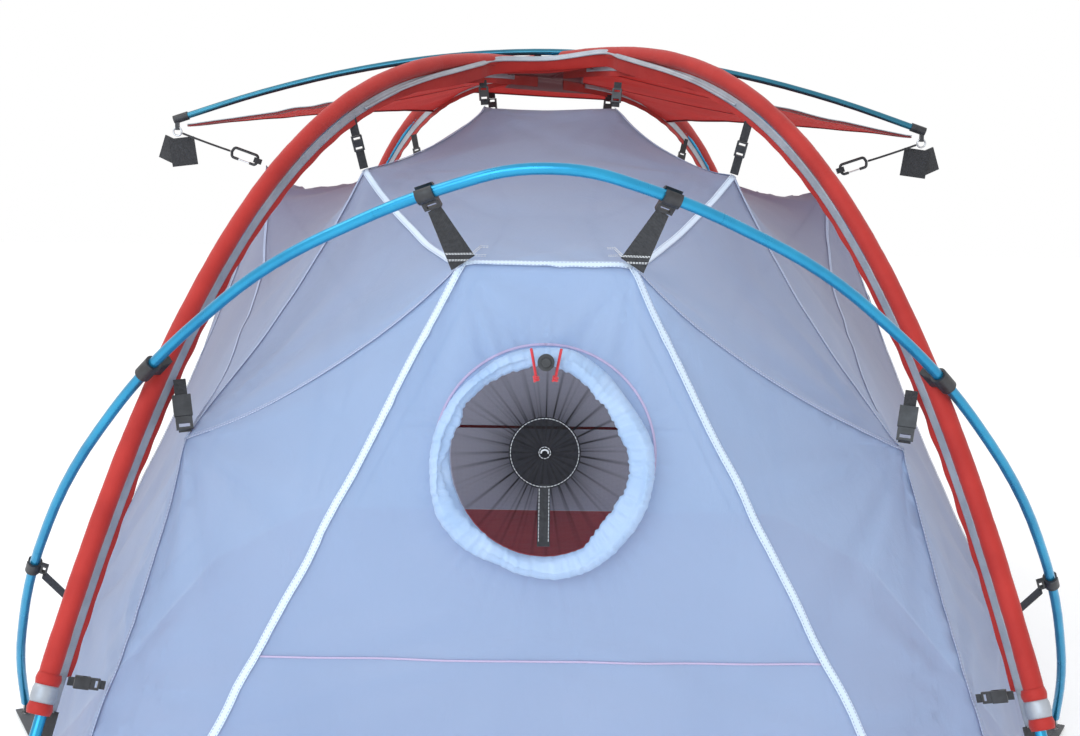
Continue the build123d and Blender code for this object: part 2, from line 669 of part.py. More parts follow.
# Feet ---------------------------------------------------------------------------------------------
def feet():
    """Pole end tips, cut flat at the ground, and the webbing tabs that they stand in."""
    above_ground = Pos(0, 0, 500) * Box(4000, 4000, 1000)
    tips, tabs = [], []
    for path, corner in ((arch_path(CROWN_LOW), CORNER), (hoop_path(), FLOOR_SIDE)):
        foot = path @ 0
        lead = smooth_path([foot - (path % 0) * 10, path @ share_at(path, TIP_LENGTH - 0.2)])
        tips += four(tube(lead, TIP_R) & above_ground)
        inward = (Vector(*corner) - foot).normalized()
        middle_z = Vector(0, 0, WEB_THICK / 2)
        tab = strap(foot - inward * 20 + middle_z, Vector(*corner) - inward * 26 + middle_z, 28, (0, 0, 1))
        tabs += four(tab - Pos(*foot) * Cylinder(TIP_R + 3, 20))
    return {"pole_end_tips": group(tips), "foot_tabs": group(tabs)}


def main():
    nodes = {}
    for make in (poles, sleeves, inner_tent, vent, hardware, hanging_hardware, brow_ends, feet):
        nodes.update(make())
    nodes["crown_cap"] = group(crown_cap())
    nodes["wing_right"] = wing()
    nodes["wing_left"] = across(wing())
    for name, shape in nodes.items():
        export_step(shape, "parts/" + name + ".step")
    print(len(nodes), "nodes")


main()
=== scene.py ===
"""Looks of the dome tent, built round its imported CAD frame.

Metres. -Y is the front end, with the vent, +X is to the right seen from it, and +Z is up. The points and
curves repeat the CAD source's driving dimensions, since this script reads only the frame.
"""

import math

import bpy
import numpy as np
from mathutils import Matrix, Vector, noise
from mathutils.bvhtree import BVHTree


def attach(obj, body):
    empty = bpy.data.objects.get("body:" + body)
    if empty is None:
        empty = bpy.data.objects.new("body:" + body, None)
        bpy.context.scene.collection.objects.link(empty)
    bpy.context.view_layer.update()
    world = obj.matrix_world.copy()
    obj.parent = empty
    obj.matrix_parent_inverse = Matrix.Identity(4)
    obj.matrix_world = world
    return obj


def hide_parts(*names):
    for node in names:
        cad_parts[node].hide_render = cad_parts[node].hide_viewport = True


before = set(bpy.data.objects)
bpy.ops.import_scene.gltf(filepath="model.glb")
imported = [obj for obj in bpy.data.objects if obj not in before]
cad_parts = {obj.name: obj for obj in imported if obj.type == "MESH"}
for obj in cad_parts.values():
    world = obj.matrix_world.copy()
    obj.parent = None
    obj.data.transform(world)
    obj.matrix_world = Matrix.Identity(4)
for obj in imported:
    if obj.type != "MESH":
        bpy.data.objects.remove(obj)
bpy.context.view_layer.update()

# Dimensions shared with the CAD source ------------------------------------------------------------
FOOT_X, FOOT_Y = 0.610, 1.075
CROWN_HIGH, CROWN_LOW = 1.030, 1.016
ARCH_POWER = 3.2
CUFF_LOW, CUFF_HIGH = 0.226, 0.268

ANCHORS = {
    "roof_front": (0.091, -0.980, 0.736),
    "roof_side": (0.262, -0.465, 0.836),
    "roof_top": (0.104, -0.190, 0.940),
    "shoulder": (0.488, 0.0, 0.841),
    "cross": (0.432, -0.830, 0.512),
    "low": (0.495, -0.949, 0.244),
    "hoop": (0.651, -0.580, 0.228),
    "corner": (0.580, -1.045, 0.0),
    "floor_side": (0.712, -0.540, 0.0),
    "seam_foot": (0.475, -1.052, 0.0),
}
DOOR_LOW, DOOR_HIGH = 0.110, 0.640
DOOR_HALF_LOW, DOOR_HALF_HIGH = 0.330, 0.095
VENT_Z, VENT_RX, VENT_RZ = 0.531, 0.104, 0.112
MESH_DEPTH, DISC_R = 0.030, 0.040

FLOOR_LIFT = 0.0008

UP, DOWN, FRONT = (0, 0, 1.0), (0, 0, -1.0), (0, -1.0, 0)


# Mesh helpers -------------------------------------------------------------------------------------
def array(points):
    return np.array([tuple(p) for p in points], float)


def unit(v):
    v = np.asarray(v, float)
    return v / np.maximum(np.linalg.norm(v, axis=-1, keepdims=True), 1e-12)


def new_object(name, verts, faces, materials, uv=None, face_material=None, smooth=True):
    """A mesh object from arrays, with one UV pair per face corner if given."""
    mesh = bpy.data.meshes.new(name)
    mesh.from_pydata([tuple(map(float, v)) for v in verts], [], [tuple(map(int, f)) for f in faces])
    for material in materials:
        mesh.materials.append(material)
    if face_material is not None:
        mesh.polygons.foreach_set("material_index", np.asarray(face_material, np.int32))
    mesh.polygons.foreach_set("use_smooth", np.full(len(mesh.polygons), smooth))
    if uv is not None:
        layer = mesh.uv_layers.new(name="UVMap")
        layer.data.foreach_set("uv", np.asarray(uv, np.float32).ravel())
    mesh.update()
    obj = bpy.data.objects.new(name, mesh)
    bpy.context.scene.collection.objects.link(obj)
    return obj


def run_of(line):
    """The length along a line at each of its points."""
    return np.concatenate([[0], np.cumsum(np.linalg.norm(np.diff(line, axis=0), axis=1))])


def sweep(points, side, up, profile, closed=True, capped=True):
    """Vertices, faces and corner UVs of a section carried along points.

    profile is (stations, count, 2) or (count, 2): offsets along side and up. u is the length along the
    points and v the length round the section, both in metres.
    """
    points, side, up = (np.asarray(a, float) for a in (points, side, up))
    profile = np.asarray(profile, float)
    if profile.ndim == 2:
        profile = np.broadcast_to(profile, (len(points),) + profile.shape)
    count = profile.shape[1]
    verts = points[:, None] + profile[..., :1] * side[:, None] + profile[..., 1:] * up[:, None]
    along = run_of(points)
    round_it = run_of(np.concatenate([profile[0], profile[0][:1]]) if closed else profile[0])
    faces, uv = [], []
    for i in range(len(points) - 1):
        for j in range(count if closed else count - 1):
            k = (j + 1) % count
            faces.append((i * count + j, i * count + k, (i + 1) * count + k, (i + 1) * count + j))
            low, high = round_it[j], round_it[j + 1]
            uv += [(along[i], low), (along[i], high), (along[i + 1], high), (along[i + 1], low)]
    if closed and capped:
        for start, turn in ((0, -1), ((len(points) - 1) * count, 1)):
            faces.append(tuple(start + j for j in range(count))[::turn])
            uv += [tuple(p) for p in profile[0]][::turn]
    return verts.reshape(-1, 3), faces, uv


def smooth_line(points, count):
    """count points evenly spaced along a Catmull-Rom curve through the given points."""
    p = array(points)
    p = np.concatenate([[2 * p[0] - p[1]], p, [2 * p[-1] - p[-2]]])
    fine = []
    for a, b, c, d in zip(p, p[1:], p[2:], p[3:]):
        for s in np.linspace(0, 1, 24, endpoint=False):
            fine.append(0.5 * (2 * b + (c - a) * s + (2 * a - 5 * b + 4 * c - d) * s * s
                               + (3 * b - a - 3 * c + d) * s ** 3))
    fine = np.array(fine + [p[-2]])
    return resample(fine, count)


def resample(line, count):
    line = np.asarray(line, float)
    along = run_of(line)
    wanted = np.linspace(0, along[-1], count)
    return np.stack([np.interp(wanted, along, line[:, k]) for k in range(3)], axis=1)


def tangents(line):
    return unit(np.gradient(np.asarray(line, float), axis=0))


def ribbon(name, line, normals, width, thick, material, lift=0.0, bulges=0):
    """A strip with rounded edges along a line, lying square to one normal or to one for each point."""
    line, normals = np.asarray(line, float), unit(normals)
    t = tangents(line)
    side = unit(np.cross(t, normals))
    up = unit(np.cross(side, t))
    half, edge = width / 2, thick / 2
    across = np.linspace(-1, 1, 9)
    crown = edge * (1 + 0.9 * np.abs(np.sin(across * math.pi * bulges / 2))) if bulges else edge * np.ones(9)
    crown[[0, -1]] *= 0.35
    top = np.stack([across * half, crown], 1)
    low = np.stack([across[::-1] * half, -np.where(np.abs(across) > 0.99, 0.35, 1.0) * edge], 1)
    verts, faces, uv = sweep(line + up * lift, side, up, np.concatenate([top, low]))
    return new_object(name, verts, faces, [material], uv)


def ring_faces(rings, around, first=0):
    """Faces between rings of points that follow each other, the first ring's first point at index first."""
    faces = []
    for start in range(first, first + (rings - 1) * around, around):
        for k in range(around):
            a, b = start + k, start + (k + 1) % around
            faces.append((a, a + around, b + around, b))
    return faces


def tube(line, radius, normal, sides):
    """Vertices, faces and corner UVs of a round section carried along a line."""
    t = tangents(line)
    side = unit(np.cross(t, normal))
    angles = np.linspace(0, 2 * math.pi, sides, endpoint=False)
    return sweep(line, side, unit(np.cross(side, t)), radius * np.stack([np.cos(angles), np.sin(angles)], 1))


def join(objects, name):
    """One object from several, keeping their materials."""
    bpy.ops.object.select_all(action="DESELECT")
    for o in objects:
        o.select_set(True)
    bpy.context.view_layer.objects.active = objects[0]
    if len(objects) > 1:
        bpy.ops.object.join()
    objects[0].name = name
    objects[0].data.name = name
    return objects[0]


def rides(obj, body, slot, *nodes):
    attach(obj, body)
    if nodes:
        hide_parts(*nodes)
    return obj


# Materials ----------------------------------------------------------------------------------------
class Shader:
    """A Principled material with a few procedural helpers."""

    def __init__(self, name, roughness=0.6, metallic=0.0, **sockets):
        self.material = bpy.data.materials.new(name)
        self.material.use_nodes = True
        self.tree = self.material.node_tree
        self.tree.nodes.clear()
        self.out = self.add("ShaderNodeOutputMaterial")
        self.bsdf = self.add("ShaderNodeBsdfPrincipled")
        self.bsdf.inputs["Roughness"].default_value = roughness
        self.bsdf.inputs["Metallic"].default_value = metallic
        for socket, value in sockets.items():
            self.bsdf.inputs[socket.replace("_", " ")].default_value = value
        self.coords = self.add("ShaderNodeTexCoord")
        self.link(self.bsdf.outputs[0], self.out.inputs[0])
        self.bumps = []

    def add(self, kind, **settings):
        node = self.tree.nodes.new(kind)
        for key, value in settings.items():
            setattr(node, key, value)
        return node

    def link(self, a, b):
        self.tree.links.new(a, b)

    def vector(self, space="Object", scale=(1, 1, 1), turn=(0, 0, 0)):
        mapping = self.add("ShaderNodeMapping")
        mapping.inputs["Scale"].default_value = scale
        mapping.inputs["Rotation"].default_value = turn
        self.link(self.coords.outputs[space], mapping.inputs["Vector"])
        return mapping.outputs[0]

    def noise(self, scale, detail=4, rough=0.55, space="Object", stretch=(1, 1, 1), distortion=0.0):
        node = self.add("ShaderNodeTexNoise")
        node.inputs["Scale"].default_value = scale
        node.inputs["Detail"].default_value = detail
        node.inputs["Roughness"].default_value = rough
        node.inputs["Distortion"].default_value = distortion
        self.link(self.vector(space, stretch), node.inputs["Vector"])
        return node.outputs["Fac"]

    def wave(self, period, space="UV", axis="X", profile="SIN", turn=(0, 0, 0), distortion=0.0):
        """Bands a period apart along an axis, 0 to 1."""
        node = self.add("ShaderNodeTexWave", wave_type="BANDS", bands_direction=axis, wave_profile=profile)
        node.inputs["Scale"].default_value = math.pi / (10 * period)
        node.inputs["Distortion"].default_value = distortion
        self.link(self.vector(space, turn=turn), node.inputs["Vector"])
        return node.outputs["Fac"]

    def math(self, operation, a, b=0.5, clamp=False):
        node = self.add("ShaderNodeMath", operation=operation, use_clamp=clamp)
        for socket, value in zip(node.inputs, (a, b)):
            if isinstance(value, (int, float)):
                socket.default_value = value
            else:
                self.link(value, socket)
        return node.outputs[0]

    def shades(self, value, dark, light, low=0.3, high=0.7):
        """A colour between two shades, as a value goes from low to high."""
        node = self.add("ShaderNodeValToRGB")
        for element, at, colour in zip(node.color_ramp.elements, (low, high), (dark, light)):
            element.position = at
            element.color = (*colour, 1)
        self.link(value, node.inputs[0])
        return node.outputs[0]

    def mix(self, factor, a, b):
        node = self.add("ShaderNodeMix", data_type="RGBA")
        for socket, value in ((node.inputs[0], factor), (node.inputs[6], a), (node.inputs[7], b)):
            if isinstance(value, (int, float)):
                socket.default_value = value
            elif isinstance(value, tuple):
                socket.default_value = (*value, 1)
            else:
                self.link(value, socket)
        return node.outputs[2]

    def attribute(self, name):
        return self.add("ShaderNodeAttribute", attribute_name=name).outputs["Fac"]

    def colour(self, value):
        socket = self.bsdf.inputs["Base Color"]
        if isinstance(value, tuple):
            socket.default_value = (*value, 1)
        else:
            self.link(value, socket)
        self.base = value

    def bump(self, height, distance, strength=1.0):
        """Adds a bump of the given height in metres to what is there."""
        node = self.add("ShaderNodeBump")
        node.inputs["Strength"].default_value = strength
        node.inputs["Distance"].default_value = distance
        self.link(height, node.inputs["Height"])
        if self.bumps:
            self.link(self.bumps[-1], node.inputs["Normal"])
        self.bumps.append(node.outputs[0])

    def finish(self, translucent=0.0, clear=0.0):
        """Connects the bumps and lets some light through the cloth."""
        if self.bumps:
            self.link(self.bumps[-1], self.bsdf.inputs["Normal"])
        surface = self.bsdf.outputs[0]
        if translucent:
            through = self.add("ShaderNodeBsdfTranslucent")
            if isinstance(self.base, tuple):
                through.inputs["Color"].default_value = (*self.base, 1)
            else:
                self.link(self.base, through.inputs["Color"])
            if self.bumps:
                self.link(self.bumps[-1], through.inputs["Normal"])
            surface = self.mixed(surface, through.outputs[0], translucent)
        if clear != 0.0:
            surface = self.mixed(surface, self.add("ShaderNodeBsdfTransparent").outputs[0], clear)
        self.link(surface, self.out.inputs[0])
        return self.material

    def mixed(self, a, b, share):
        node = self.add("ShaderNodeMixShader")
        if isinstance(share, (int, float)):
            node.inputs[0].default_value = share
        else:
            self.link(share, node.inputs[0])
        self.link(a, node.inputs[1])
        self.link(b, node.inputs[2])
        return node.outputs[0]


def woven(shader, period, height, space="UV"):
    """The crossing threads of a plain weave."""
    warp = shader.wave(period, space, "X")
    weft = shader.wave(period, space, "Y")
    shader.bump(shader.math("MULTIPLY", warp, weft), height, 0.5)


def inner_cloth():
    """The inner tent's thin pale cloth with small creases: a faint random tone, and painted light and shade,
    lighter and bluer at the front and greyer towards the rear.
    """
    s = Shader("inner_cloth", roughness=0.5, Sheen_Weight=0.25, Sheen_Roughness=0.4, Specular_IOR_Level=0.35)
    shade = s.noise(2.2, detail=3)
    # painted light and shade: front is the lit, bluer colour of the front end, rear the shaded, greyer colour
    # of the roof, sides and rear
    front = s.shades(shade, (0.38, 0.53, 0.78), (0.45, 0.60, 0.85))
    rear = s.shades(shade, (0.29, 0.325, 0.47), (0.34, 0.38, 0.53))
    along = s.add("ShaderNodeSeparateXYZ")
    s.link(s.coords.outputs["Object"], along.inputs[0])
    # painted light and shade: the colour goes from the lit front at y = -0.95 to the shaded rear by y = -0.33
    s.colour(s.mix(s.math("MULTIPLY", s.math("ADD", along.outputs["Y"], 0.95), 1.6, clamp=True), front, rear))
    creases = s.noise(26, detail=5, rough=0.6, stretch=(1, 1, 0.45), distortion=0.6)
    s.bump(creases, 0.004, 0.35)
    woven(s, 0.0011, 0.00012)
    return s.finish(translucent=0.42, clear=0.1)


SLEEVE_REDS = ((0.34, 0.018, 0.015), (0.43, 0.028, 0.022))
WING_REDS = ((0.46, 0.014, 0.010), (0.56, 0.022, 0.016))
DEEP_REDS = ((0.17, 0.010, 0.013), (0.23, 0.016, 0.019))


def red_cloth(name, reds, through=0.0):
    s = Shader(name, roughness=0.62, Sheen_Weight=0.12, Sheen_Roughness=0.45, Specular_IOR_Level=0.25)
    s.colour(s.shades(s.noise(14, detail=4), *reds))
    s.bump(s.noise(60, detail=4, distortion=0.4), 0.002, 0.3)
    woven(s, 0.0012, 0.0002)
    return s.finish(translucent=through)


def floor_cloth():
    s = Shader("floor_cloth", roughness=0.45, Coat_Weight=0.15, Coat_Roughness=0.4)
    s.colour(s.shades(s.noise(6, detail=4), (0.62, 0.020, 0.022), (0.74, 0.032, 0.034)))
    s.bump(s.noise(18, detail=5, distortion=0.8), 0.006, 0.5)
    return s.finish()


STITCH_PERIOD = 0.0042


def stitched_tape(name, colour, other, width, thread):
    """A narrow tape with a row of stitches near each edge, its UVs in metres."""
    s = Shader(name, roughness=0.6, Sheen_Weight=0.2)
    uv = s.add("ShaderNodeSeparateXYZ")
    s.link(s.coords.outputs["UV"], uv.inputs[0])
    across = s.math("ABSOLUTE", s.math("SUBTRACT", uv.outputs["Y"], width / 2))
    row = s.math("LESS_THAN", s.math("ABSOLUTE", s.math("SUBTRACT", across, width * 0.33)), 0.0005)
    dash = s.math("GREATER_THAN", s.wave(STITCH_PERIOD, "UV", "X"), 0.35)
    stitch = s.math("MULTIPLY", row, dash)
    cloth = s.mix(s.noise(90, detail=3), colour, other)
    s.colour(s.mix(stitch, cloth, thread))
    s.bump(stitch, 0.0006, 0.8)
    woven(s, 0.0009, 0.0002)
    return s.finish()


def reflective_tape():
    """Grey retro-reflective tape: fine beads and a brushed sheen along it."""
    s = Shader("reflective_tape", roughness=0.42, metallic=0.35)
    s.colour(s.shades(s.noise(30, detail=4), (0.30, 0.32, 0.36), (0.42, 0.44, 0.48)))
    s.bump(s.noise(2600, detail=1), 0.0002, 0.5)
    s.bump(s.wave(0.0022, "UV", "X"), 0.0002, 0.4)
    return s.finish()


def black_webbing():
    """Ribbed polyester webbing: fine ribs and a faint grain."""
    s = Shader("black_webbing", roughness=0.75, Sheen_Weight=0.3, Sheen_Roughness=0.5)
    s.colour(s.shades(s.noise(300, detail=3), (0.010, 0.010, 0.012), (0.030, 0.030, 0.034)))
    s.bump(s.wave(0.0013, "Object", "DIAGONAL"), 0.0003, 0.7)
    s.bump(s.noise(900, detail=2), 0.0003, 0.4)
    return s.finish()


def black_plastic():
    """Moulded acetal: soft gloss, a fine spark-eroded grain and rubbed lighter patches."""
    s = Shader("black_plastic", roughness=0.42, Specular_IOR_Level=0.5)
    s.colour(s.shades(s.noise(90, detail=4), (0.012, 0.012, 0.014), (0.035, 0.035, 0.040), 0.35, 0.75))
    s.link(s.shades(s.noise(60, detail=3), (0.34,) * 3, (0.52,) * 3), s.bsdf.inputs["Roughness"])
    s.bump(s.noise(2200, detail=2), 0.00015, 0.5)
    return s.finish()


def anodised(name, dark, light, roughness=0.3):
    """Anodised aluminium tube with a fine grain and slight rubbing."""
    s = Shader(name, roughness=roughness, metallic=0.75, Coat_Weight=0.35, Coat_Roughness=0.18)
    s.colour(s.shades(s.noise(8, detail=5, rough=0.65), dark, light, high=0.72))
    rubbed = s.shades(s.noise(40, detail=6, rough=0.7), (roughness - 0.06,) * 3, (roughness + 0.1,) * 3)
    s.link(rubbed, s.bsdf.inputs["Roughness"])
    s.bump(s.noise(500, detail=2), 0.00012, 0.3)
    return s.finish()


def plain_metal(name, colour, roughness):
    s = Shader(name, roughness=roughness, metallic=1.0)
    s.colour(s.mix(s.noise(120, detail=4), colour, tuple(0.8 * c for c in colour)))
    s.bump(s.noise(1500, detail=2), 0.0001, 0.4)
    return s.finish()


def collar_cloth():
    s = Shader("collar_cloth", roughness=0.55, Sheen_Weight=0.3, Specular_IOR_Level=0.3)
    s.colour(s.shades(s.noise(25, detail=4), (0.44, 0.60, 0.82), (0.56, 0.70, 0.89)))
    s.bump(s.noise(120, detail=5, distortion=0.6), 0.002, 0.4)
    woven(s, 0.0011, 0.00015)
    return s.finish(translucent=0.35)


NET_PERIOD = 0.0014


def netting(name, open_share):
    """Black mosquito net, finer than can be seen from a few steps away, darker along its gathers."""
    s = Shader(name, roughness=0.85, Specular_IOR_Level=0.1)
    s.colour(s.shades(s.noise(200, detail=2), (0.008, 0.008, 0.009), (0.018, 0.018, 0.020)))
    fold = s.attribute("fold")
    gap = s.math("MULTIPLY", s.math("SUBTRACT", 1.0, fold, clamp=True), open_share)
    threads = s.math("MAXIMUM", s.wave(NET_PERIOD, "UV", "X"), s.wave(NET_PERIOD, "UV", "Y"))
    gap = s.math("MULTIPLY", gap, s.math("SUBTRACT", 1.15, s.math("MULTIPLY", threads, 0.3)), clamp=True)
    s.bump(threads, 0.0003, 0.4)
    return s.finish(clear=gap)


def thread_material(name, colour):
    s = Shader(name, roughness=0.7, Sheen_Weight=0.4)
    s.colour(s.mix(s.noise(700, detail=2), colour, tuple(0.8 * c for c in colour)))
    s.bump(s.wave(0.0008, "Object", "DIAGONAL"), 0.0003, 0.6)
    return s.finish()


def zip_material():
    """Zip tape with its coil showing as fine teeth."""
    s = Shader("zip_tape", roughness=0.6, Sheen_Weight=0.2)
    s.colour(s.shades(s.noise(200), (0.20, 0.21, 0.25), (0.27, 0.28, 0.33)))
    s.bump(s.wave(0.0016, "UV", "X"), 0.0006, 0.9)
    return s.finish()


CLOTH = inner_cloth()
RED = red_cloth("red_sleeve_cloth", SLEEVE_REDS)
RED_FIN = red_cloth("red_fin_cloth", SLEEVE_REDS, through=0.15)
RED_WING = red_cloth("red_wing_cloth", WING_REDS, through=0.5)
RED_DOUBLE = red_cloth("red_double_cloth", DEEP_REDS, through=0.25)
HEM = red_cloth("dark_hem", DEEP_REDS)
FLOOR_RED = floor_cloth()
WHITE_TAPE = stitched_tape("white_seam_tape", (0.62, 0.72, 0.86), (0.54, 0.64, 0.80), 0.010,
                           thread=(0.30, 0.36, 0.52))
GREY_TAPE = stitched_tape("grey_seam_tape", (0.27, 0.33, 0.50), (0.22, 0.28, 0.45), 0.006,
                          thread=(0.55, 0.60, 0.75))
REFLECTIVE = reflective_tape()
WEBBING = black_webbing()
PLASTIC = black_plastic()
BLUE = anodised("blue_anodised", (0.008, 0.22, 0.42), (0.02, 0.34, 0.58))
TEAL = anodised("teal_anodised", (0.012, 0.12, 0.19), (0.025, 0.19, 0.28))
BARE = plain_metal("bare_aluminium", (0.72, 0.73, 0.75), 0.3)
STEEL = plain_metal("steel_wire", (0.60, 0.60, 0.62), 0.25)
COLLAR = collar_cloth()
NET = netting("black_net", 0.78)
NET_DISC = netting("black_net_disc", 0.12)
WHITE_THREAD = thread_material("white_thread", (0.80, 0.80, 0.82))
RED_THREAD = thread_material("red_cord", (0.62, 0.02, 0.035))
BLACK_THREAD = thread_material("black_cord", (0.02, 0.02, 0.022))
FAINT_PINK = thread_material("faint_pink_binding", (0.50, 0.42, 0.62))
ZIP = zip_material()


# Curves of the poles ------------------------------------------------------------------------------
def arch(t, crown, drop=0.0, sx=1):
    """Points of the main pole that stands on the front foot of side sx, drop metres below its axis
    in the pole's own plane."""
    t = np.atleast_1d(np.asarray(t, float))
    p = np.stack([FOOT_X * t, -FOOT_Y * t, crown * (1 - np.abs(t) ** ARCH_POWER)], 1)
    if np.any(drop):
        slope = -crown * ARCH_POWER * np.abs(t) ** (ARCH_POWER - 1) * np.sign(t)
        run = np.stack([np.full_like(t, FOOT_X), np.full_like(t, -FOOT_Y), slope], 1)
        flat = unit(np.array([FOOT_X, -FOOT_Y, 0.0]))
        level = math.hypot(FOOT_X, FOOT_Y)
        inward = unit(np.outer(slope, flat) - np.outer(np.full_like(t, level), (0, 0, 1)))
        assert np.allclose((inward * run).sum(1), 0, atol=1e-6)
        p = p + inward * np.reshape(drop, (-1, 1))
    return p * (sx, 1, 1)


def leg_at_height(z, crown):
    return (1 - z / crown) ** (1 / ARCH_POWER)


LEGS = {  # name: (side, end, crown height of its pole)
    "front_right": (1, 1, CROWN_HIGH),
    "rear_left": (-1, -1, CROWN_HIGH),
    "front_left": (-1, 1, CROWN_LOW),
    "rear_right": (1, -1, CROWN_LOW),
}


# The inner tent's canopy --------------------------------------------------------------------------
class Net:
    """Triangles of cloth between held points, refined and then pulled even like a stretched skin."""

    def __init__(self):
        self.points, self.index = [], {}
        self.triangles, self.panel = [], []
        self.cables, self.held = {}, set()

    def point(self, p, held=False):
        key = tuple(round(c, 6) for c in p)
        if key not in self.index:
            self.index[key] = len(self.points)
            self.points.append(np.array(p, float))
        if held:
            self.held.add(self.index[key])
        return self.index[key]

    def face(self, panel, *corners):
        self.triangles.append(tuple(self.point(c) for c in corners))
        self.panel.append(panel)

    def cable(self, pull, *line, held=False):
        """A seam or hem along two or more points, which pulls that much harder than the cloth."""
        ids = [self.point(p, held) for p in line]
        for a, b in zip(ids, ids[1:]):
            self.cables[frozenset((a, b))] = (pull, held)

    def band(self, panel, outer, inner, centre_z):
        """Triangles between two loops that both run clockwise, seen from the front, from above a centre."""
        def turns(loop):
            angle = [math.atan2(x, z - centre_z) % (2 * math.pi) for x, _, z in loop]
            if angle[0] > math.pi:
                angle[0] -= 2 * math.pi
            return angle + [2 * math.pi]

        at_outer, at_inner = turns(outer), turns(inner)
        i = j = 0
        while i < len(outer) or j < len(inner):
            here, there = outer[i % len(outer)], inner[j % len(inner)]
            if j >= len(inner) or (i < len(outer) and at_outer[i + 1] <= at_inner[j + 1]):
                self.face(panel, here, outer[(i + 1) % len(outer)], there)
                i += 1
            else:
                self.face(panel, here, inner[(j + 1) % len(inner)], there)
                j += 1

    def refine(self, limit_of):
        """Halves every edge longer than its panel's limit, until none is."""
        while True:
            p, tri = np.array(self.points), np.array(self.triangles)
            panel = np.array(self.panel)
            limit = np.array([limit_of(name) for name in self.panel])
            pairs = np.sort(np.stack([tri, np.roll(tri, -1, 1)], 2).reshape(-1, 2), 1)
            edges, which = np.unique(pairs, axis=0, return_inverse=True)
            which = which.reshape(-1)
            edge_limit = np.full(len(edges), np.inf)
            np.minimum.at(edge_limit, which, np.repeat(limit, 3))
            too_long = np.linalg.norm(p[edges[:, 0]] - p[edges[:, 1]], axis=1) > edge_limit
            if not too_long.any():
                return
            middle = np.full(len(edges), -1)
            middle[too_long] = len(p) + np.arange(too_long.sum())
            halves = (p[edges[too_long, 0]] + p[edges[too_long, 1]]) / 2
            self.points = list(np.concatenate([p, halves]))
            for (a, b), m in zip(edges[too_long].tolist(), middle[too_long].tolist()):
                cable = self.cables.pop(frozenset((a, b)), None)
                if cable:
                    self.cables[frozenset((a, m))] = cable
                    self.cables[frozenset((m, b))] = cable
                    if cable[1]:
                        self.held.add(m)
            made, made_panel = self.split(tri, middle[which].reshape(-1, 3), panel)
            self.triangles, self.panel = made.tolist(), made_panel.tolist()

    def split(self, tri, mids, panel):
        """Cuts each triangle by its edges' new middle points, where it has any."""
        count = (mids >= 0).sum(1)
        made, names = [tri[count == 0]], [panel[count == 0]]
        for marked, first in ((1, mids >= 0), (2, mids < 0), (3, mids >= 0)):
            rows = np.flatnonzero(count == marked)
            turn = (np.argmax(first[rows], axis=1)[:, None] + np.arange(3)) % 3
            (a, b, c), (ab, bc, ca) = (np.take_along_axis(m[rows], turn, 1).T for m in (tri, mids))
            if marked == 1:
                cut = [(a, ab, c), (ab, b, c)]
            elif marked == 2:
                cut = [(a, b, bc), (a, bc, ca), (ca, bc, c)]
            else:
                cut = [(a, ab, ca), (ab, b, bc), (ca, bc, c), (ab, bc, ca)]
            for corners in cut:
                made.append(np.stack(corners, 1))
                names.append(panel[rows])
        return np.concatenate(made), np.concatenate(names)

    def relax(self, rounds):
        """Moves the free points to where the cloth's and the seams' pulls cancel."""
        p = np.array(self.points)
        tri = np.array(self.triangles)
        starts, ends, weights = [], [], []
        for k in range(3):
            i, j, far = tri[:, k], tri[:, (k + 1) % 3], tri[:, (k + 2) % 3]
            u, v = p[i] - p[far], p[j] - p[far]
            cot = (u * v).sum(1) / np.maximum(np.linalg.norm(np.cross(u, v), axis=1), 1e-9)
            starts += [i, j]
            ends += [j, i]
            weights += [np.clip(cot, 0.05, 4) / 2] * 2
        if self.cables:
            pairs = np.array([sorted(k) for k in self.cables])
            pull = np.array([self.cables[frozenset(k)][0] for k in map(tuple, pairs)])
            pull = pull / np.maximum(np.linalg.norm(p[pairs[:, 0]] - p[pairs[:, 1]], axis=1), 1e-6)
            starts += [pairs[:, 0], pairs[:, 1]]
            ends += [pairs[:, 1], pairs[:, 0]]
            weights += [pull, pull]
        starts, ends, weights = np.concatenate(starts), np.concatenate(ends), np.concatenate(weights)
        total = np.bincount(starts, weights, len(p))
        free = np.ones(len(p), bool)
        free[sorted(self.held)] = False
        for _ in range(rounds):
            pulled = np.stack([np.bincount(starts, weights * p[ends, k], len(p)) for k in range(3)], 1)
            p[free] = (pulled / total[:, None])[free]
        self.points = list(p)

    def line(self, *held):
        """The chain of cable points from one given point to the next ones, in order."""
        near = {}
        for key in self.cables:
            a, b = key
            near.setdefault(a, []).append(b)
            near.setdefault(b, []).append(a)
        chain = [self.index[tuple(round(c, 6) for c in held[0])]]
        for target in held[1:]:
            goal = self.index[tuple(round(c, 6) for c in target)]
            chain = chain[:-1] + self.path(near, chain[-1], goal)
        return chain

    def path(self, near, start, goal):
        before, queue = {start: None}, [start]
        for here in queue:
            if here == goal:
                break
            for step in near[here]:
                if step not in before:
                    before[step] = here
                    queue.append(step)
        chain = [goal]
        while before[chain[-1]] is not None:
            chain.append(before[chain[-1]])
        return chain[::-1]


def normals_of(points, triangles):
    p, tri = np.asarray(points), np.asarray(triangles)
    face = np.cross(p[tri[:, 1]] - p[tri[:, 0]], p[tri[:, 2]] - p[tri[:, 0]])
    total = np.zeros_like(p)
    for k in range(3):
        np.add.at(total, tri[:, k], face)
    return unit(total)


def tree_from(points, triangles):
    return BVHTree.FromPolygons([Vector(p) for p in points], [tuple(map(int, t)) for t in triangles])


def quarter(name, sx, sy):
    x, y, z = ANCHORS[name]
    return (sx * x, sy * y, z)


def share_of(a, b, s):
    return tuple(np.array(a) + (np.array(b) - np.array(a)) * s)


def wall_point(sx, y, z):
    base, top = ANCHORS["floor_side"][0], ANCHORS["shoulder"]
    return (sx * (base + (top[0] - base) * z / top[2]), y, z)


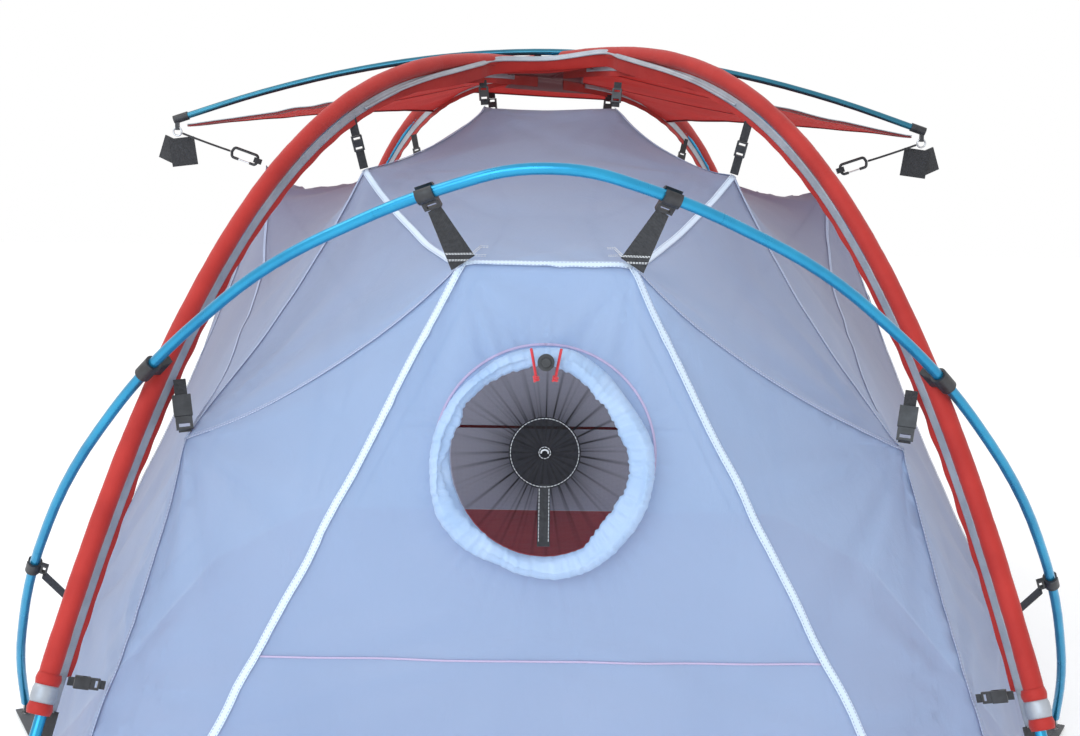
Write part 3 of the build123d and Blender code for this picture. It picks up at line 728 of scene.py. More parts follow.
SEAM_SHARES = (0.2, 0.4, 0.6, 0.8)
STIFF, SOFT, EDGE = 9.0, 0.55, 1.2   # pulls of straight, curved and outer seams, and of doorways


def ellipse(grow, count, centre_y):
    """Points round the vent, clockwise from its top, in the end panel's plane."""
    low, high = ANCHORS["seam_foot"], ANCHORS["roof_front"]
    lean = (high[1] - low[1]) / high[2]
    points = []
    for k in range(count):
        angle = 2 * math.pi * k / count
        x, z = VENT_RX * grow * math.sin(angle), VENT_RZ * grow * math.cos(angle)
        points.append((x, centre_y + lean * z, VENT_Z + z))
    return points


def vent_centre_y():
    low, high = ANCHORS["seam_foot"], ANCHORS["roof_front"]
    return low[1] + (high[1] - low[1]) * VENT_Z / high[2]


def end_seam(sx, sy):
    """Points of the seam down one side of an end panel, from the roof to the ground."""
    top, foot = quarter("roof_front", sx, sy), quarter("seam_foot", sx, sy)
    return [top] + [share_of(top, foot, s) for s in SEAM_SHARES] + [foot]


def end_faces(net, sy):
    """An end panel as loops round the vent's place, open at the front end only."""
    right = end_seam(1, sy)
    low_y = right[-1][1]
    sill = [(x, low_y, 0.0) for x in (0.24, 0.0, -0.24)]
    left = [(-x, y, z) for x, y, z in reversed(right)]
    outer = [share_of(right[0], left[-1], 0.5)] + right + sill + left
    rings = [[(x, sy * y, z) for x, y, z in ellipse(g, 24, vent_centre_y())] for g in (1.35, 1.0)]
    net.band("end_" + ("front" if sy > 0 else "rear"), outer, rings[0], VENT_Z)
    net.band("vent_" + ("front" if sy > 0 else "rear"), rings[0], rings[1], VENT_Z)
    if sy > 0:
        net.cable(2.0, *rings[1], rings[1][0], held=True)
        for p in rings[1]:
            net.point(p, held=True)
    else:
        middle = (0.0, -vent_centre_y(), VENT_Z)
        for a, b in zip(rings[1], rings[1][1:] + rings[1][:1]):
            net.face("end_rear", a, b, middle)
    net.cable(STIFF, *right)
    net.cable(STIFF, *left)
    net.cable(3.0, left[-1], outer[0], right[0])
    net.cable(1.0, right[-1], *sill, left[0], held=True)


QUARTER_FACES = (  # panel, then corners
    ("corner", "seam_foot", "cross", "low"),
    ("corner", "seam_foot", "low", "corner"),
    ("corner", "roof_front", "roof_side", "cross"),
    ("side", "roof_side", "shoulder", "cross"),
    ("side", "shoulder", "hoop", "cross"),
    ("side", "hoop", "low", "cross"),
    ("side", "hoop", "corner", "low"),
    ("side", "hoop", "floor_side", "corner"),
    ("shoulder", "roof_top", "roof_side", "shoulder"),
)
QUARTER_SEAMS = (  # pull, then points
    (SOFT, "roof_front", "roof_side"),
    (SOFT, "roof_front", "cross"),
    (SOFT, "roof_side", "cross"),
    (EDGE, "cross", "low", "corner"),
    (SOFT, "roof_side", "roof_top"),
    (SOFT, "shoulder", "cross"),
    (EDGE, "shoulder", "hoop"),
    (EDGE, "hoop", "floor_side"),
)


def build_canopy_net():
    net = Net()
    for sx in (1, -1):
        for sy in (1, -1):
            q = {name: quarter(name, sx, sy) for name in ANCHORS}
            for p in q.values():
                net.point(p, held=True)
            seam = end_seam(sx, sy)
            for a, b in zip(seam, seam[1:]):
                net.face("corner", a, q["cross"], b)
            for panel, *corners in QUARTER_FACES:
                net.face(panel, *(q[name] for name in corners))
            for pull, *line in QUARTER_SEAMS:
                net.cable(pull, *(q[name] for name in line))
            net.cable(1.0, q["seam_foot"], q["corner"], q["floor_side"], held=True)
    for sy in (1, -1):
        end_faces(net, sy)
        r1, l1 = quarter("roof_front", 1, sy), quarter("roof_front", -1, sy)
        middle = share_of(r1, l1, 0.5)
        r3, l3 = quarter("roof_side", 1, sy), quarter("roof_side", -1, sy)
        r4, l4 = quarter("roof_top", 1, sy), quarter("roof_top", -1, sy)
        for corners in ((r1, r3, middle), (middle, r3, l3), (l1, middle, l3), (l3, r3, r4), (l3, r4, l4)):
            net.face("roof", *corners)
        net.cable(EDGE, l4, r4)
    r4, l4 = quarter("roof_top", 1, 1), quarter("roof_top", -1, 1)
    r4b, l4b = quarter("roof_top", 1, -1), quarter("roof_top", -1, -1)
    net.face("roof", l4, r4, r4b)
    net.face("roof", l4, r4b, l4b)
    for sx in (1, -1):
        top, top_rear = quarter("roof_top", sx, 1), quarter("roof_top", sx, -1)
        net.face("shoulder", top, quarter("shoulder", sx, 1), top_rear)
        wall_faces(net, sx)
    return net


def door_corners(sx):
    """Low front, high front, high rear and low rear corners of the doorway."""
    outline = [(-DOOR_HALF_LOW, DOOR_LOW), (-DOOR_HALF_HIGH, DOOR_HIGH)]
    outline += [(DOOR_HALF_HIGH, DOOR_HIGH), (DOOR_HALF_LOW, DOOR_LOW)]
    return [wall_point(sx, y, z) for y, z in outline]


def wall_faces(net, sx):
    name = "door_right" if sx > 0 else "door_left"
    low_front, high_front, high_rear, low_rear = door_corners(sx)
    foot, foot_rear = quarter("floor_side", sx, 1), quarter("floor_side", sx, -1)
    hoop, hoop_rear = quarter("hoop", sx, 1), quarter("hoop", sx, -1)
    top = quarter("shoulder", sx, 1)
    sill = share_of(foot, foot_rear, 0.5)
    for corners in ((foot, sill, low_front), (sill, low_rear, low_front), (sill, foot_rear, low_rear),
                    (foot, low_front, hoop), (hoop, low_front, high_front), (hoop, high_front, top),
                    (high_front, high_rear, top), (foot_rear, hoop_rear, low_rear),
                    (hoop_rear, high_rear, low_rear), (hoop_rear, top, high_rear)):
        net.face("wall", *corners)
    net.face(name, low_front, low_rear, high_rear)
    net.face(name, low_front, high_rear, high_front)
    net.cable(EDGE, low_rear, low_front, high_front, high_rear, held=True)
    net.cable(EDGE, high_rear, low_rear, held=True)
    net.point(high_rear, held=True)
    net.point(low_rear, held=True)
    net.cable(1.0, foot, sill, foot_rear, held=True)


CLOTH_EDGE = {"end_front": 0.012, "vent_front": 0.008}
CLOTH_EDGE_ELSEWHERE = 0.022


STRETCH_ROUNDS = ((16, 400), (8, 300), (4, 200), (2, 120), (1, 60))


def stretched(net, steps, edge_of):
    """Refines and relaxes a net in steps of (multiple of the final edge length, rounds)."""
    for factor, rounds in steps:
        net.refine(lambda panel: factor * edge_of(panel))
        net.relax(rounds)
    return net


def moved(net, points, normals, moves):
    """The points moved along their normals, except the net's held ones."""
    moves = np.array(moves)
    moves[sorted(net.held)] = 0
    return points + normals * moves[:, None]


def outward(net):
    """Turns the triangles to face out of the tent."""
    p, inside = np.array(net.points), np.array((0, 0, 0.3))
    turned = []
    for a, b, c in net.triangles:
        normal = np.cross(p[b] - p[a], p[c] - p[a])
        middle = (p[a] + p[b] + p[c]) / 3
        turned.append((a, b, c) if normal @ (middle - inside) > 0 else (a, c, b))
    net.triangles = turned


def creases(points, normals, fans):
    """Small folds that fan out from each held point, and a slow unevenness everywhere."""
    move = np.zeros(len(points))
    for k, (centre, count, reach, height) in enumerate(fans):
        gap = points - np.array(centre)
        distance = np.linalg.norm(gap, axis=1)
        near = distance < 5 * reach
        axis = normals[np.argmin(distance)]
        one = unit(np.cross(axis, (0.3, 0.2, 0.9)))
        two = np.cross(axis, one)
        angle = np.arctan2(gap @ two, gap @ one)
        fan = np.sin(count * angle + 1.7 * k) + 0.5 * np.sin((count * 1.6 + 1) * angle + k)
        fade = (distance / reach) * np.exp(1 - distance / reach)
        move += np.where(near, height * fan * fade, 0)
    slow = np.array([noise.noise(Vector(p) * 5.0) + 0.5 * noise.noise(Vector(p) * 13.0) for p in points])
    return move + 0.0022 * slow


def vent_creases(points):
    """Fine radial gathers round the vent's seam."""
    centre = np.array((0, vent_centre_y(), VENT_Z))
    x, z = (points[:, 0] - centre[0]) / VENT_RX, (points[:, 2] - centre[2]) / VENT_RZ
    radius, angle = np.hypot(x, z), np.arctan2(x, z)
    front = points[:, 1] < -0.6
    swing = np.sin(46 * angle + 1.5 * np.sin(5 * angle)) + 0.6 * np.sin(71 * angle + 2 * np.sin(3 * angle))
    fade = np.clip((radius - 1) / 0.08, 0, 1) * np.exp(-np.maximum(radius - 1, 0) / 0.28)
    return np.where(front, 0.0011 * swing * fade, 0)


def low_creases(points):
    """Slanting tension folds low on the front, from the vent towards the corners."""
    x, z = points[:, 0], points[:, 2]
    front = (points[:, 1] < -0.9) & (z < 0.42)
    swing = np.array([noise.noise(Vector((9 * px, 0, 38 * (pz + 0.25 * abs(px))))) for px, pz in zip(x, z)])
    fade = np.clip(z / 0.06, 0, 1) * np.clip((0.42 - z) / 0.12, 0, 1)
    return np.where(front, 0.0028 * swing * fade, 0)


PANEL_AXES = {
    "end": ((1, 0, 0), (0, 0, 1)),
    "roof": ((1, 0, 0), (0, 1, 0)),
    "side": ((0, 1, 0), (0, 0, 1)),
}


def panel_axes(panel):
    for key, axes in PANEL_AXES.items():
        if panel.startswith(key):
            return axes
    return PANEL_AXES[{"shoulder": "roof", "corner": "end"}.get(panel, "side")]


def cloth_object(name, points, triangles, panels, material):
    used = sorted({i for tri in triangles for i in tri})
    place = {old: new for new, old in enumerate(used)}
    faces = [tuple(place[i] for i in tri) for tri in triangles]
    verts = points[used]
    uv = []
    for tri, panel in zip(faces, panels):
        along, up = panel_axes(panel)
        uv += [(verts[i] @ np.array(along), verts[i] @ np.array(up)) for i in tri]
    return new_object(name, verts, faces, [material], uv)


net = stretched(build_canopy_net(), STRETCH_ROUNDS,
                lambda panel: CLOTH_EDGE.get(panel, CLOTH_EDGE_ELSEWHERE))
outward(net)
canopy_points = np.array(net.points)
canopy_normals = normals_of(canopy_points, net.triangles)
FANS = (  # anchor, folds, reach and height of the creases that fan out from it
    ("roof_front", 9, 0.10, 0.0018),
    ("roof_side", 11, 0.09, 0.0022),
    ("roof_top", 9, 0.08, 0.0016),
    ("cross", 12, 0.11, 0.0026),
    ("low", 10, 0.08, 0.0022),
    ("hoop", 10, 0.10, 0.0026),
)
fans = []
for side_x in (1, -1):
    for side_y in (1, -1):
        fans += [(quarter(anchor, side_x, side_y), *fan) for anchor, *fan in FANS]
    fans.append((quarter("shoulder", side_x, 1), 12, 0.12, 0.0026))
moves = creases(canopy_points, canopy_normals, fans)
moves += vent_creases(canopy_points) + low_creases(canopy_points)
canopy_points = moved(net, canopy_points, canopy_normals, moves)
canopy_points[:, 2] = np.maximum(canopy_points[:, 2], 0.0)


def canopy_piece(name, chosen):
    """One piece cut from the stretched net: the triangles of the panels that chosen says yes to."""
    kept = [(t, p) for t, p in zip(net.triangles, net.panel) if chosen(p)]
    return cloth_object(name, canopy_points, [t for t, _ in kept], [p for _, p in kept], CLOTH)


CANOPY_PANELS = ["front_end_panel", "rear_end_panel", "roof_panel"]
CANOPY_PANELS += [kind + side for kind in ("shoulder_panel_", "side_wall_") for side in ("left", "right")]
CANOPY_PANELS += [kind + end + side for kind in ("corner_panel_", "side_panel_")
                  for end in ("front_", "rear_") for side in ("left", "right")]
canopy = canopy_piece("inner_tent_canopy", lambda panel: not panel.startswith("door"))
rides(canopy, "tent", "inner_fabric", *CANOPY_PANELS)

for door_name in ("door_right", "door_left"):
    door = canopy_piece("cloth_" + door_name, lambda panel: panel == door_name)
    rides(door, door_name, "inner_fabric", door_name)


# Seams on the inner tent --------------------------------------------------------------------------
TAPE_STEP = 0.012


def seam_strip(chain, width, material):
    """A tape along a chain of canopy points, on the outer side of the cloth."""
    line, normal = canopy_points[chain], canopy_normals[chain]
    place = run_of(line)
    count = max(8, int(place[-1] / TAPE_STEP))
    along = np.linspace(0, place[-1], count)
    facing = np.stack([np.interp(along, place, normal[:, k]) for k in range(3)], 1)
    return ribbon("tape", resample(line, count), facing, width, 0.0008, material, lift=0.0009)


tapes = []
for side_x in (1, -1):
    for side_y in (1, -1):
        q = {anchor: quarter(anchor, side_x, side_y) for anchor in ANCHORS}
        tapes.append(seam_strip(net.line(*end_seam(side_x, side_y)), 0.010, WHITE_TAPE))
        tapes.append(seam_strip(net.line(q["roof_front"], q["roof_side"]), 0.009, WHITE_TAPE))
        for a, b in (("roof_front", "cross"), ("roof_side", "cross"), ("roof_side", "roof_top"),
                     ("cross", "low"), ("low", "corner"), ("shoulder", "cross"),
                     ("shoulder", "hoop"), ("hoop", "floor_side")):
            tapes.append(seam_strip(net.line(q[a], q[b]), 0.0055, GREY_TAPE))
for side_y in (1, -1):
    right, left = quarter("roof_front", 1, side_y), quarter("roof_front", -1, side_y)
    tapes.append(seam_strip(net.line(left, share_of(right, left, 0.5), right), 0.009, WHITE_TAPE))
for side_x in (1, -1):
    low_front, high_front, high_rear, low_rear = door_corners(side_x)
    zip_line = net.line(low_rear, low_front, high_front, high_rear)
    tapes.append(seam_strip(zip_line, 0.011, ZIP))
seams = join(tapes, "inner_tent_seam_tapes")
rides(seams, "tent", "white_fabric")


# Floor --------------------------------------------------------------------------------------------
def floor_sheet():
    """The red groundsheet, slightly uneven, inside the floor's outline."""
    outline = [ANCHORS["seam_foot"], ANCHORS["corner"], ANCHORS["floor_side"]]
    corner = [(x, y) for x, y, _ in outline]
    corner += [(x, -y) for x, y in reversed(corner)]
    corner += [(-x, y) for x, y in reversed(corner)]
    rings, around = 40, 160
    loop = np.array(corner + corner[:1], float)
    along = run_of(loop)
    at = np.linspace(0, along[-1], around, endpoint=False)
    edge = np.stack([np.interp(at, along, loop[:, k]) for k in range(2)], 1) * 0.996
    verts, faces = [(0, 0, FLOOR_LIFT)], []
    for r in range(1, rings + 1):
        for x, y in edge * r / rings:
            ruck = 0.0015 * (1 + noise.noise(Vector((6 * x, 6 * y, 0.4))))
            verts.append((x, y, FLOOR_LIFT + ruck * math.sin(math.pi * r / rings)))
    for k in range(around):
        faces.append((0, 1 + k, 1 + (k + 1) % around))
    return new_object("groundsheet", verts, faces + ring_faces(rings, around, 1), [FLOOR_RED])


groundsheet = floor_sheet()
rides(groundsheet, "tent", "floor_fabric", "floor")


# Sleeves ------------------------------------------------------------------------------------------
SLEEVE_R, CUFF_R, CUFF_BORE = 0.0118, 0.0132, 0.0095
TAPE_TOP, TAPE_LOW, FIN_LOW = 0.0135, 0.0265, 0.0345   # how far inward of the pole's axis
SLEEVE_SHORT = 0.045


def leg_stations(crown, start, stop, step):
    """Even stations up a leg from parameter start to stop, with the leg's frame at each."""
    fine = arch(np.linspace(start, stop, 600), crown)
    place = run_of(fine)
    length = place[-1]
    count = max(4, int(length / step))
    t = np.interp(np.linspace(0, length, count), place, np.linspace(start, stop, 600))
    points = arch(t, crown)
    inward = unit(arch(t, crown, np.full(count, 0.001)) - points)
    across = unit(np.cross(tangents(points), inward))
    return points, inward, across, length


def sleeve_tunnel(crown, sx, sy, start, stop, radius, name, material, seed):
    """The fabric tunnel and the fin below it, as one cloth section."""
    points, inward, across, length = leg_stations(crown, start, stop, 0.006)
    count = len(points)
    angles = np.radians(np.linspace(205, 515, 27))
    profile = np.zeros((count, len(angles) + 6, 2))
    for i in range(count):
        s = length * i / count
        puff = 0.0006 * noise.noise(Vector((s * 22, seed, 0)))
        puff += 0.0003 * noise.noise(Vector((s * 90, seed, 3)))
        ring = (radius + puff) * np.stack([np.sin(angles), -np.cos(angles)], 1)
        ring[:, 1] *= 0.97
        pucker = 0.0004 * np.sin(s * 2 * math.pi / 0.011)
        ring[:, 0] += pucker * np.exp(-((ring[:, 1] - radius) / 0.004) ** 2)
        sway = 0.0016 * noise.noise(Vector((s * 30, seed, 7)))
        sway += 0.0008 * math.sin(s * 2 * math.pi / 0.05 + seed)
        neck = TAPE_TOP - 0.0005
        left = [(-0.0008, neck), (-0.0007, TAPE_LOW), (-0.0006 + sway, FIN_LOW)]
        right = [(0.0006 + sway, FIN_LOW), (0.0007, TAPE_LOW), (0.0008, neck)]
        profile[i] = np.concatenate([right, ring[::-1], left])
    verts, faces, uv = sweep(points, across, inward, profile, closed=False)
    return new_object(name, verts * (sx, sy, 1), [f[::-1] for f in faces] if sx * sy < 0 else faces,
                      [material], uv)


def tape_strips(crown, sx, sy, start, stop):
    """The double-ridged reflective tape on both faces of the fin."""
    points, inward, across, _ = leg_stations(crown, start, stop, 0.008)
    made = []
    middle = (TAPE_TOP + TAPE_LOW) / 2
    for turn in (1, -1):
        line = (points + inward * middle + across * turn * 0.0013) * (sx, sy, 1)
        facing = across * turn * (sx, sy, 1)
        made.append(ribbon("tape", line, facing, TAPE_LOW - TAPE_TOP, 0.0012, REFLECTIVE, bulges=4))
    return made


def cuff_ring(crown, sx, sy, low, high, material):
    """A turned hem round the pole, a little wider than the tunnel."""
    start, stop = leg_at_height(low, crown), leg_at_height(high, crown)
    points, inward, across, _ = leg_stations(crown, start, stop, 0.002)
    count = len(points)
    shoulder = np.clip(np.minimum(np.arange(count), np.arange(count)[::-1]) / 2, 0, 1)
    outer = CUFF_R - 0.0012 * (1 - shoulder)
    angles = np.linspace(0, 2 * math.pi, 36, endpoint=False)
    ring = np.stack([np.sin(angles), np.cos(angles)], 1)
    ring[:, 1] = np.where(ring[:, 1] > 0, ring[:, 1] * 1.35, ring[:, 1])
    outside = ring[None] * outer[:, None, None]
    inside = ring[None] * np.full((count, 1, 1), CUFF_BORE)
    verts, faces, _ = sweep(points, across, inward, outside, capped=False)
    inner, inner_faces, _ = sweep(points, across, inward, inside, capped=False)
    offset, around = len(verts), len(angles)
    faces = faces + [tuple(i + offset for i in f[::-1]) for f in inner_faces]
    for base, turn in ((0, 1), ((count - 1) * around, -1)):
        for k in range(around):
            a, b = base + k, base + (k + 1) % around
            faces.append((a, a + offset, b + offset, b)[::turn])
    verts = np.concatenate([verts, inner]) * (sx, sy, 1)
    return new_object("cuff", verts, [f[::-1] for f in faces] if sx * sy < 0 else faces, [material])


for seed, (leg, (sx, sy, crown)) in enumerate(LEGS.items()):
    stop = SLEEVE_SHORT / math.hypot(FOOT_X, FOOT_Y)
    tunnel = sleeve_tunnel(crown, sx, sy, leg_at_height(CUFF_HIGH, crown), stop, SLEEVE_R,
                           "pole_sleeve_" + leg, RED, seed * 9.1)
    rides(tunnel, "tent", "red_fabric", "sleeve_" + leg)
    strips = tape_strips(crown, sx, sy, leg_at_height(CUFF_LOW + 0.004, crown), 0.10)
    tape = join(strips, "sleeve_tape_" + leg)
    rides(tape, "tent", "white_fabric")
    bands = [(CUFF_LOW, 0.238, RED), (0.238, 0.256, REFLECTIVE), (0.256, CUFF_HIGH, RED)]
    cuff = join([cuff_ring(crown, sx, sy, low, high, m) for low, high, m in bands], "sleeve_cuff_" + leg)
    rides(cuff, "tent", "red_fabric")
    if leg == "front_right":
        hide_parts("sleeve_cuffs")


# Crown cap and wings ------------------------------------------------------------------------------
WING_TIP = (0.622, 0.0, 0.908)
CAP_REACH = 0.39          # how far down the legs the wings are sewn, as a share of the leg
HEM_REACH = 0.155         # where the front hem crosses from sleeve to sleeve
REAR_REACH = 0.28         # and the rear hem
REAR_NOTCH = (0.0, 0.250, 0.978)
WING_SPINE = ((0.06, 0.998), (0.13, 0.99), (0.22, 0.98), (0.34, 0.962), (0.48, 0.936))
WING_EDGE = ((0.300, 0.285, 0.953), (0.400, 0.165, 0.944), (0.510, 0.075, 0.926))


def cap_line(t, sx, sy):
    """Where the cap's cloth is sewn below a leg."""
    crown = CROWN_LOW if sx * sy < 0 else CROWN_HIGH
    drop = 0.0145 + 0.010 * min(t / 0.3, 1.0)
    return tuple(arch([t], crown, drop)[0] * (sx, sy, 1))


def build_cap_net():
    net = Net()
    centre = (0.0, 0.0, CROWN_LOW - 0.0155)
    shares = (0.05, 0.10, HEM_REACH, 0.22, REAR_REACH, CAP_REACH)
    net.point(centre, held=True)
    legs = {}
    for sx in (1, -1):
        for sy in (1, -1):
            legs[sx, sy] = [cap_line(t, sx, sy) for t in shares]
            net.cable(3.0, centre, *legs[sx, sy], held=True)
            for p in legs[sx, sy]:
                net.point(p, held=True)
    for sx in (1, -1):
        spine = [(sx * x, 0.0, z) for x, z in WING_SPINE]
        tip = [sx * WING_TIP[0], 0.0, WING_TIP[2]]
        net.point(tip, held=True)
        for sy in (1, -1):
            leg = legs[sx, sy]
            edge = [(sx * x, -sy * y, z) for x, y, z in WING_EDGE]
            for corners in (
                    (centre, leg[0], spine[0]), (leg[0], leg[1], spine[0]), (leg[1], spine[1], spine[0]),
                    (leg[1], leg[2], spine[1]), (leg[2], leg[3], spine[1]), (leg[3], spine[2], spine[1]),
                    (leg[3], leg[4], spine[2]), (leg[4], leg[5], spine[2]), (leg[5], edge[0], spine[2]),
                    (edge[0], spine[3], spine[2]), (edge[0], edge[1], spine[3]),
                    (edge[1], spine[4], spine[3]), (edge[1], edge[2], spine[4]), (edge[2], tip, spine[4])):
                net.face("wing", *corners)
            net.cable(0.9, leg[5], *edge, tip)
            net.cable(0.12, tip, *reversed(spine), centre)
    for sy in (1, -1):
        right, left = legs[1, sy], legs[-1, sy]
        middle = (0.0, -sy * 0.150, CROWN_LOW - 0.017)
        faces = [(centre, right[0], left[0]), (right[0], right[1], left[0]), (right[1], left[1], left[0])]
        if sy > 0:
            faces += [(right[1], right[2], middle), (right[1], middle, left[1]), (left[1], middle, left[2])]
            hem = (left[2], middle, right[2])
        else:
            faces += [(right[1], right[2], left[1]), (right[2], left[2], left[1]),
                      (right[2], right[3], left[2]), (right[3], left[3], left[2]),
                      (right[3], right[4], REAR_NOTCH), (right[3], REAR_NOTCH, left[3]),
                      (left[3], REAR_NOTCH, left[4])]
            hem = (left[4], REAR_NOTCH, right[4])
        for corners in faces:
            net.face("cap", *corners)
        net.cable(2.0, *hem)
    return net


CAP_EDGE = 0.012
cap_net = stretched(build_cap_net(), STRETCH_ROUNDS[1:], lambda panel: CAP_EDGE)
cap_points = np.array(cap_net.points)
tri = np.array(cap_net.triangles)
first, second, third = (cap_points[tri[:, k]] for k in range(3))
faces_down = np.cross(second - first, third - first)[:, 2] < 0
tri[faces_down] = tri[faces_down][:, ::-1]
cap_normals = normals_of(cap_points, tri)
ripple = np.array([noise.noise(Vector((p[0] * 8, p[1] * 26, 1.5))) for p in cap_points])
cap_points = moved(cap_net, cap_points, cap_normals, 0.0016 * ripple)
web = cloth_object("crown_cap_and_wings", cap_points, [tuple(t) for t in tri], ["roof"] * len(tri), RED_WING)
rides(web, "tent", "red_fabric", "crown_cap", "wing_left", "wing_right")
cap_tree = tree_from(cap_points, tri)


def on_cap(x, y, gap):
    """The point of the cap's cloth above or below (x, y), gap metres below it."""
    hit = cap_tree.ray_cast(Vector((x, y, 0.6)), Vector((0, 0, 1)))[0]
    return None if hit is None else (hit.x, hit.y, hit.z - gap)


def under_strip(flat_line, width, gap):
    """A dark seam on the underside of the cap along a line given as (x, y) points."""
    line = [on_cap(x, y, gap) for x, y, _ in resample([(x, y, 0) for x, y in flat_line], 40)]
    return ribbon("seam", [p for p in line if p], DOWN, width, 0.0008, HEM)


LAYER_GAP = 0.0022   # how far below the cap the seams on the second layer lie


def layer_half(y):
    """Half the width of the second layer of cloth, y metres from the crossing."""
    return 0.054 + 0.016 * min(abs(y) / 0.16, 1.6) ** 1.8


def hourglass():
    """The second layer of cloth under the poles' crossing, with curved-in sides."""
    rows, columns = 60, 28
    verts, faces = [], []
    for i in range(rows + 1):
        y = -0.150 + 0.385 * i / rows
        half = layer_half(y)
        sewn = abs(y) / FOOT_Y * FOOT_X + 0.010
        half = min(half, max(sewn, 0.054)) if y < 0 else half
        for j in range(columns + 1):
            x = half * (2 * j / columns - 1)
            spot = on_cap(x, y, 0.0012) or on_cap(x, y * 0.98, 0.0012)
            verts.append(spot or (x, y, verts[-1][2] if verts else 0.99))
    for i in range(rows):
        for j in range(columns):
            a = i * (columns + 1) + j
            across = a + columns + 2
            if all(on_cap(verts[i][0], verts[i][1], 0) for i in (a, across)):
                faces.append((a, a + columns + 1, a + columns + 2, a + 1))
    used = sorted({i for f in faces for i in f})
    place = {old: new for new, old in enumerate(used)}
    return new_object("crown_cap_layer", [verts[i] for i in used],
                      [tuple(place[i] for i in f) for f in faces], [RED_DOUBLE])


layer = hourglass()
rides(layer, "tent", "red_fabric")


def cap_edges():
    """Dark hems along the free edges, and the seams on the underside."""
    made = []
    for sx in (1, -1):
        tip = [sx * WING_TIP[0], 0.0, WING_TIP[2]]
        for sy in (1, -1):
            leg = cap_line(CAP_REACH, sx, sy)
            chain = cap_net.line(leg, tip)
            line = cap_points[chain]
            line = resample(line, max(10, int(run_of(line)[-1] / TAPE_STEP)))
            made.append(ribbon("hem", line, UP, 0.009, 0.0026, HEM))
            made.append(ribbon("hem", line + (0, 0, 0.0022), UP, 0.011, 0.0012, REFLECTIVE, bulges=2))
        for sy in (-1, 1):
            made.append(under_strip([(sx * 0.060, sy * 0.100), (sx * 0.36, sy * 0.098)], 0.0028, 0.0008))
        for sy in (1, -1):
            made.append(under_strip([(0, 0), (sx * 0.12, sy * 0.2114)], 0.004, LAYER_GAP))
        border = [(sx * layer_half(y), y) for y in np.linspace(-0.148, 0.222, 25)]
        made.append(under_strip(border, 0.0036, LAYER_GAP))
    rear = cap_net.line(cap_line(REAR_REACH, -1, -1), REAR_NOTCH, cap_line(REAR_REACH, 1, -1))
    made.append(ribbon("hem", resample(cap_points[rear], 60), UP, 0.010, 0.0026, HEM))
    return made


hems = join(cap_edges(), "crown_cap_hems")
rides(hems, "tent", "red_fabric")


def hem_band():
    """The upright hem that spans the front between the sleeves, with their tape carried along its top."""
    sides = {}
    along = unit(np.array((FOOT_X, -FOOT_Y, 0.0)))
    forward = np.array((along[1], -along[0], 0.0))
    tape_drop = (TAPE_TOP + TAPE_LOW) / 2
    for sx in (1, -1):
        crown = CROWN_HIGH if sx > 0 else CROWN_LOW
        sides[sx] = []
        for t, drop, aside in ((0.44, tape_drop, 0.002), (0.37, tape_drop, 0.003), (0.31, 0.017, 0.008),
                               (0.25, 0.012, 0.0135), (0.20, 0.005, 0.0140), (HEM_REACH, -0.003, 0.0140)):
            p = arch([t], crown, drop)[0] + forward * aside
            sides[sx].append(p * (sx, 1, 1))
    count = 120
    top = sides[-1] + [np.array((0, -0.158, CROWN_LOW + 0.004))] + sides[1][::-1]
    line = smooth_line(top, count)
    ends = np.clip(np.minimum(np.arange(count), np.arange(count)[::-1]) / 34, 0, 1)
    depth = 0.005 + 0.018 * (ends * ends * (3 - 2 * ends))[:, None]
    low = line - depth * np.array((0, 0, 1.0)) + depth * np.array((0, 0.25, 0))
    verts = np.concatenate([line, (line + low) / 2, low])
    faces = [(r * count + k, r * count + k + 1, (r + 1) * count + k + 1, (r + 1) * count + k)
             for r in range(2) for k in range(count - 1)]
    cloth = new_object("band", verts, faces, [RED_FIN])
    return [cloth, ribbon("band", line, (0, -1.0, 0.25), 0.0085, 0.0016, REFLECTIVE, bulges=2)]


band = join(hem_band(), "crown_hem_bands")
rides(band, "tent", "white_fabric")


# Vent ---------------------------------------------------------------------------------------------
def vent_frame():
    """Origin, right, up and outward directions of the vent, in the end panel's plane."""
    low, high = np.array(ANCHORS["seam_foot"]), np.array(ANCHORS["roof_front"])
    up = unit(np.array((0, high[1] - low[1], high[2])))
    right = np.array((1.0, 0, 0))
    out = np.cross(right, up)
    return np.array((0, vent_centre_y(), VENT_Z)), right, up, out


# Radius of the collar's outline and of its drawn-in mouth, clockwise from the top, in degrees and metres
COLLAR_OUTLINE = ((0, 0.118), (11, 0.119), (32, 0.113), (51, 0.108), (65, 0.110), (80, 0.117), (105, 0.122),
                  (132, 0.127), (154, 0.132), (165, 0.134), (179, 0.133), (204, 0.128), (225, 0.134),
                  (239, 0.134), (253, 0.129), (269, 0.124), (287, 0.120), (306, 0.118), (321, 0.115),
                  (339, 0.117), (360, 0.118))
COLLAR_MOUTH = ((0, 0.098), (9, 0.096), (20, 0.092), (41, 0.083), (71, 0.082), (92, 0.090), (111, 0.094),
                (122, 0.091), (143, 0.096), (155, 0.107), (180, 0.111), (199, 0.109), (217, 0.104),
                (248, 0.108), (263, 0.1125), (270, 0.104), (292, 0.096), (301, 0.101), (329, 0.098),
                (349, 0.096), (360, 0.098))
SEAM_RING = 0.1185
COLLAR_DEEP = 0.037


def clock(table, angle):
    degrees, values = zip(*table)
    return np.interp(math.degrees(angle) % 360, degrees, values)


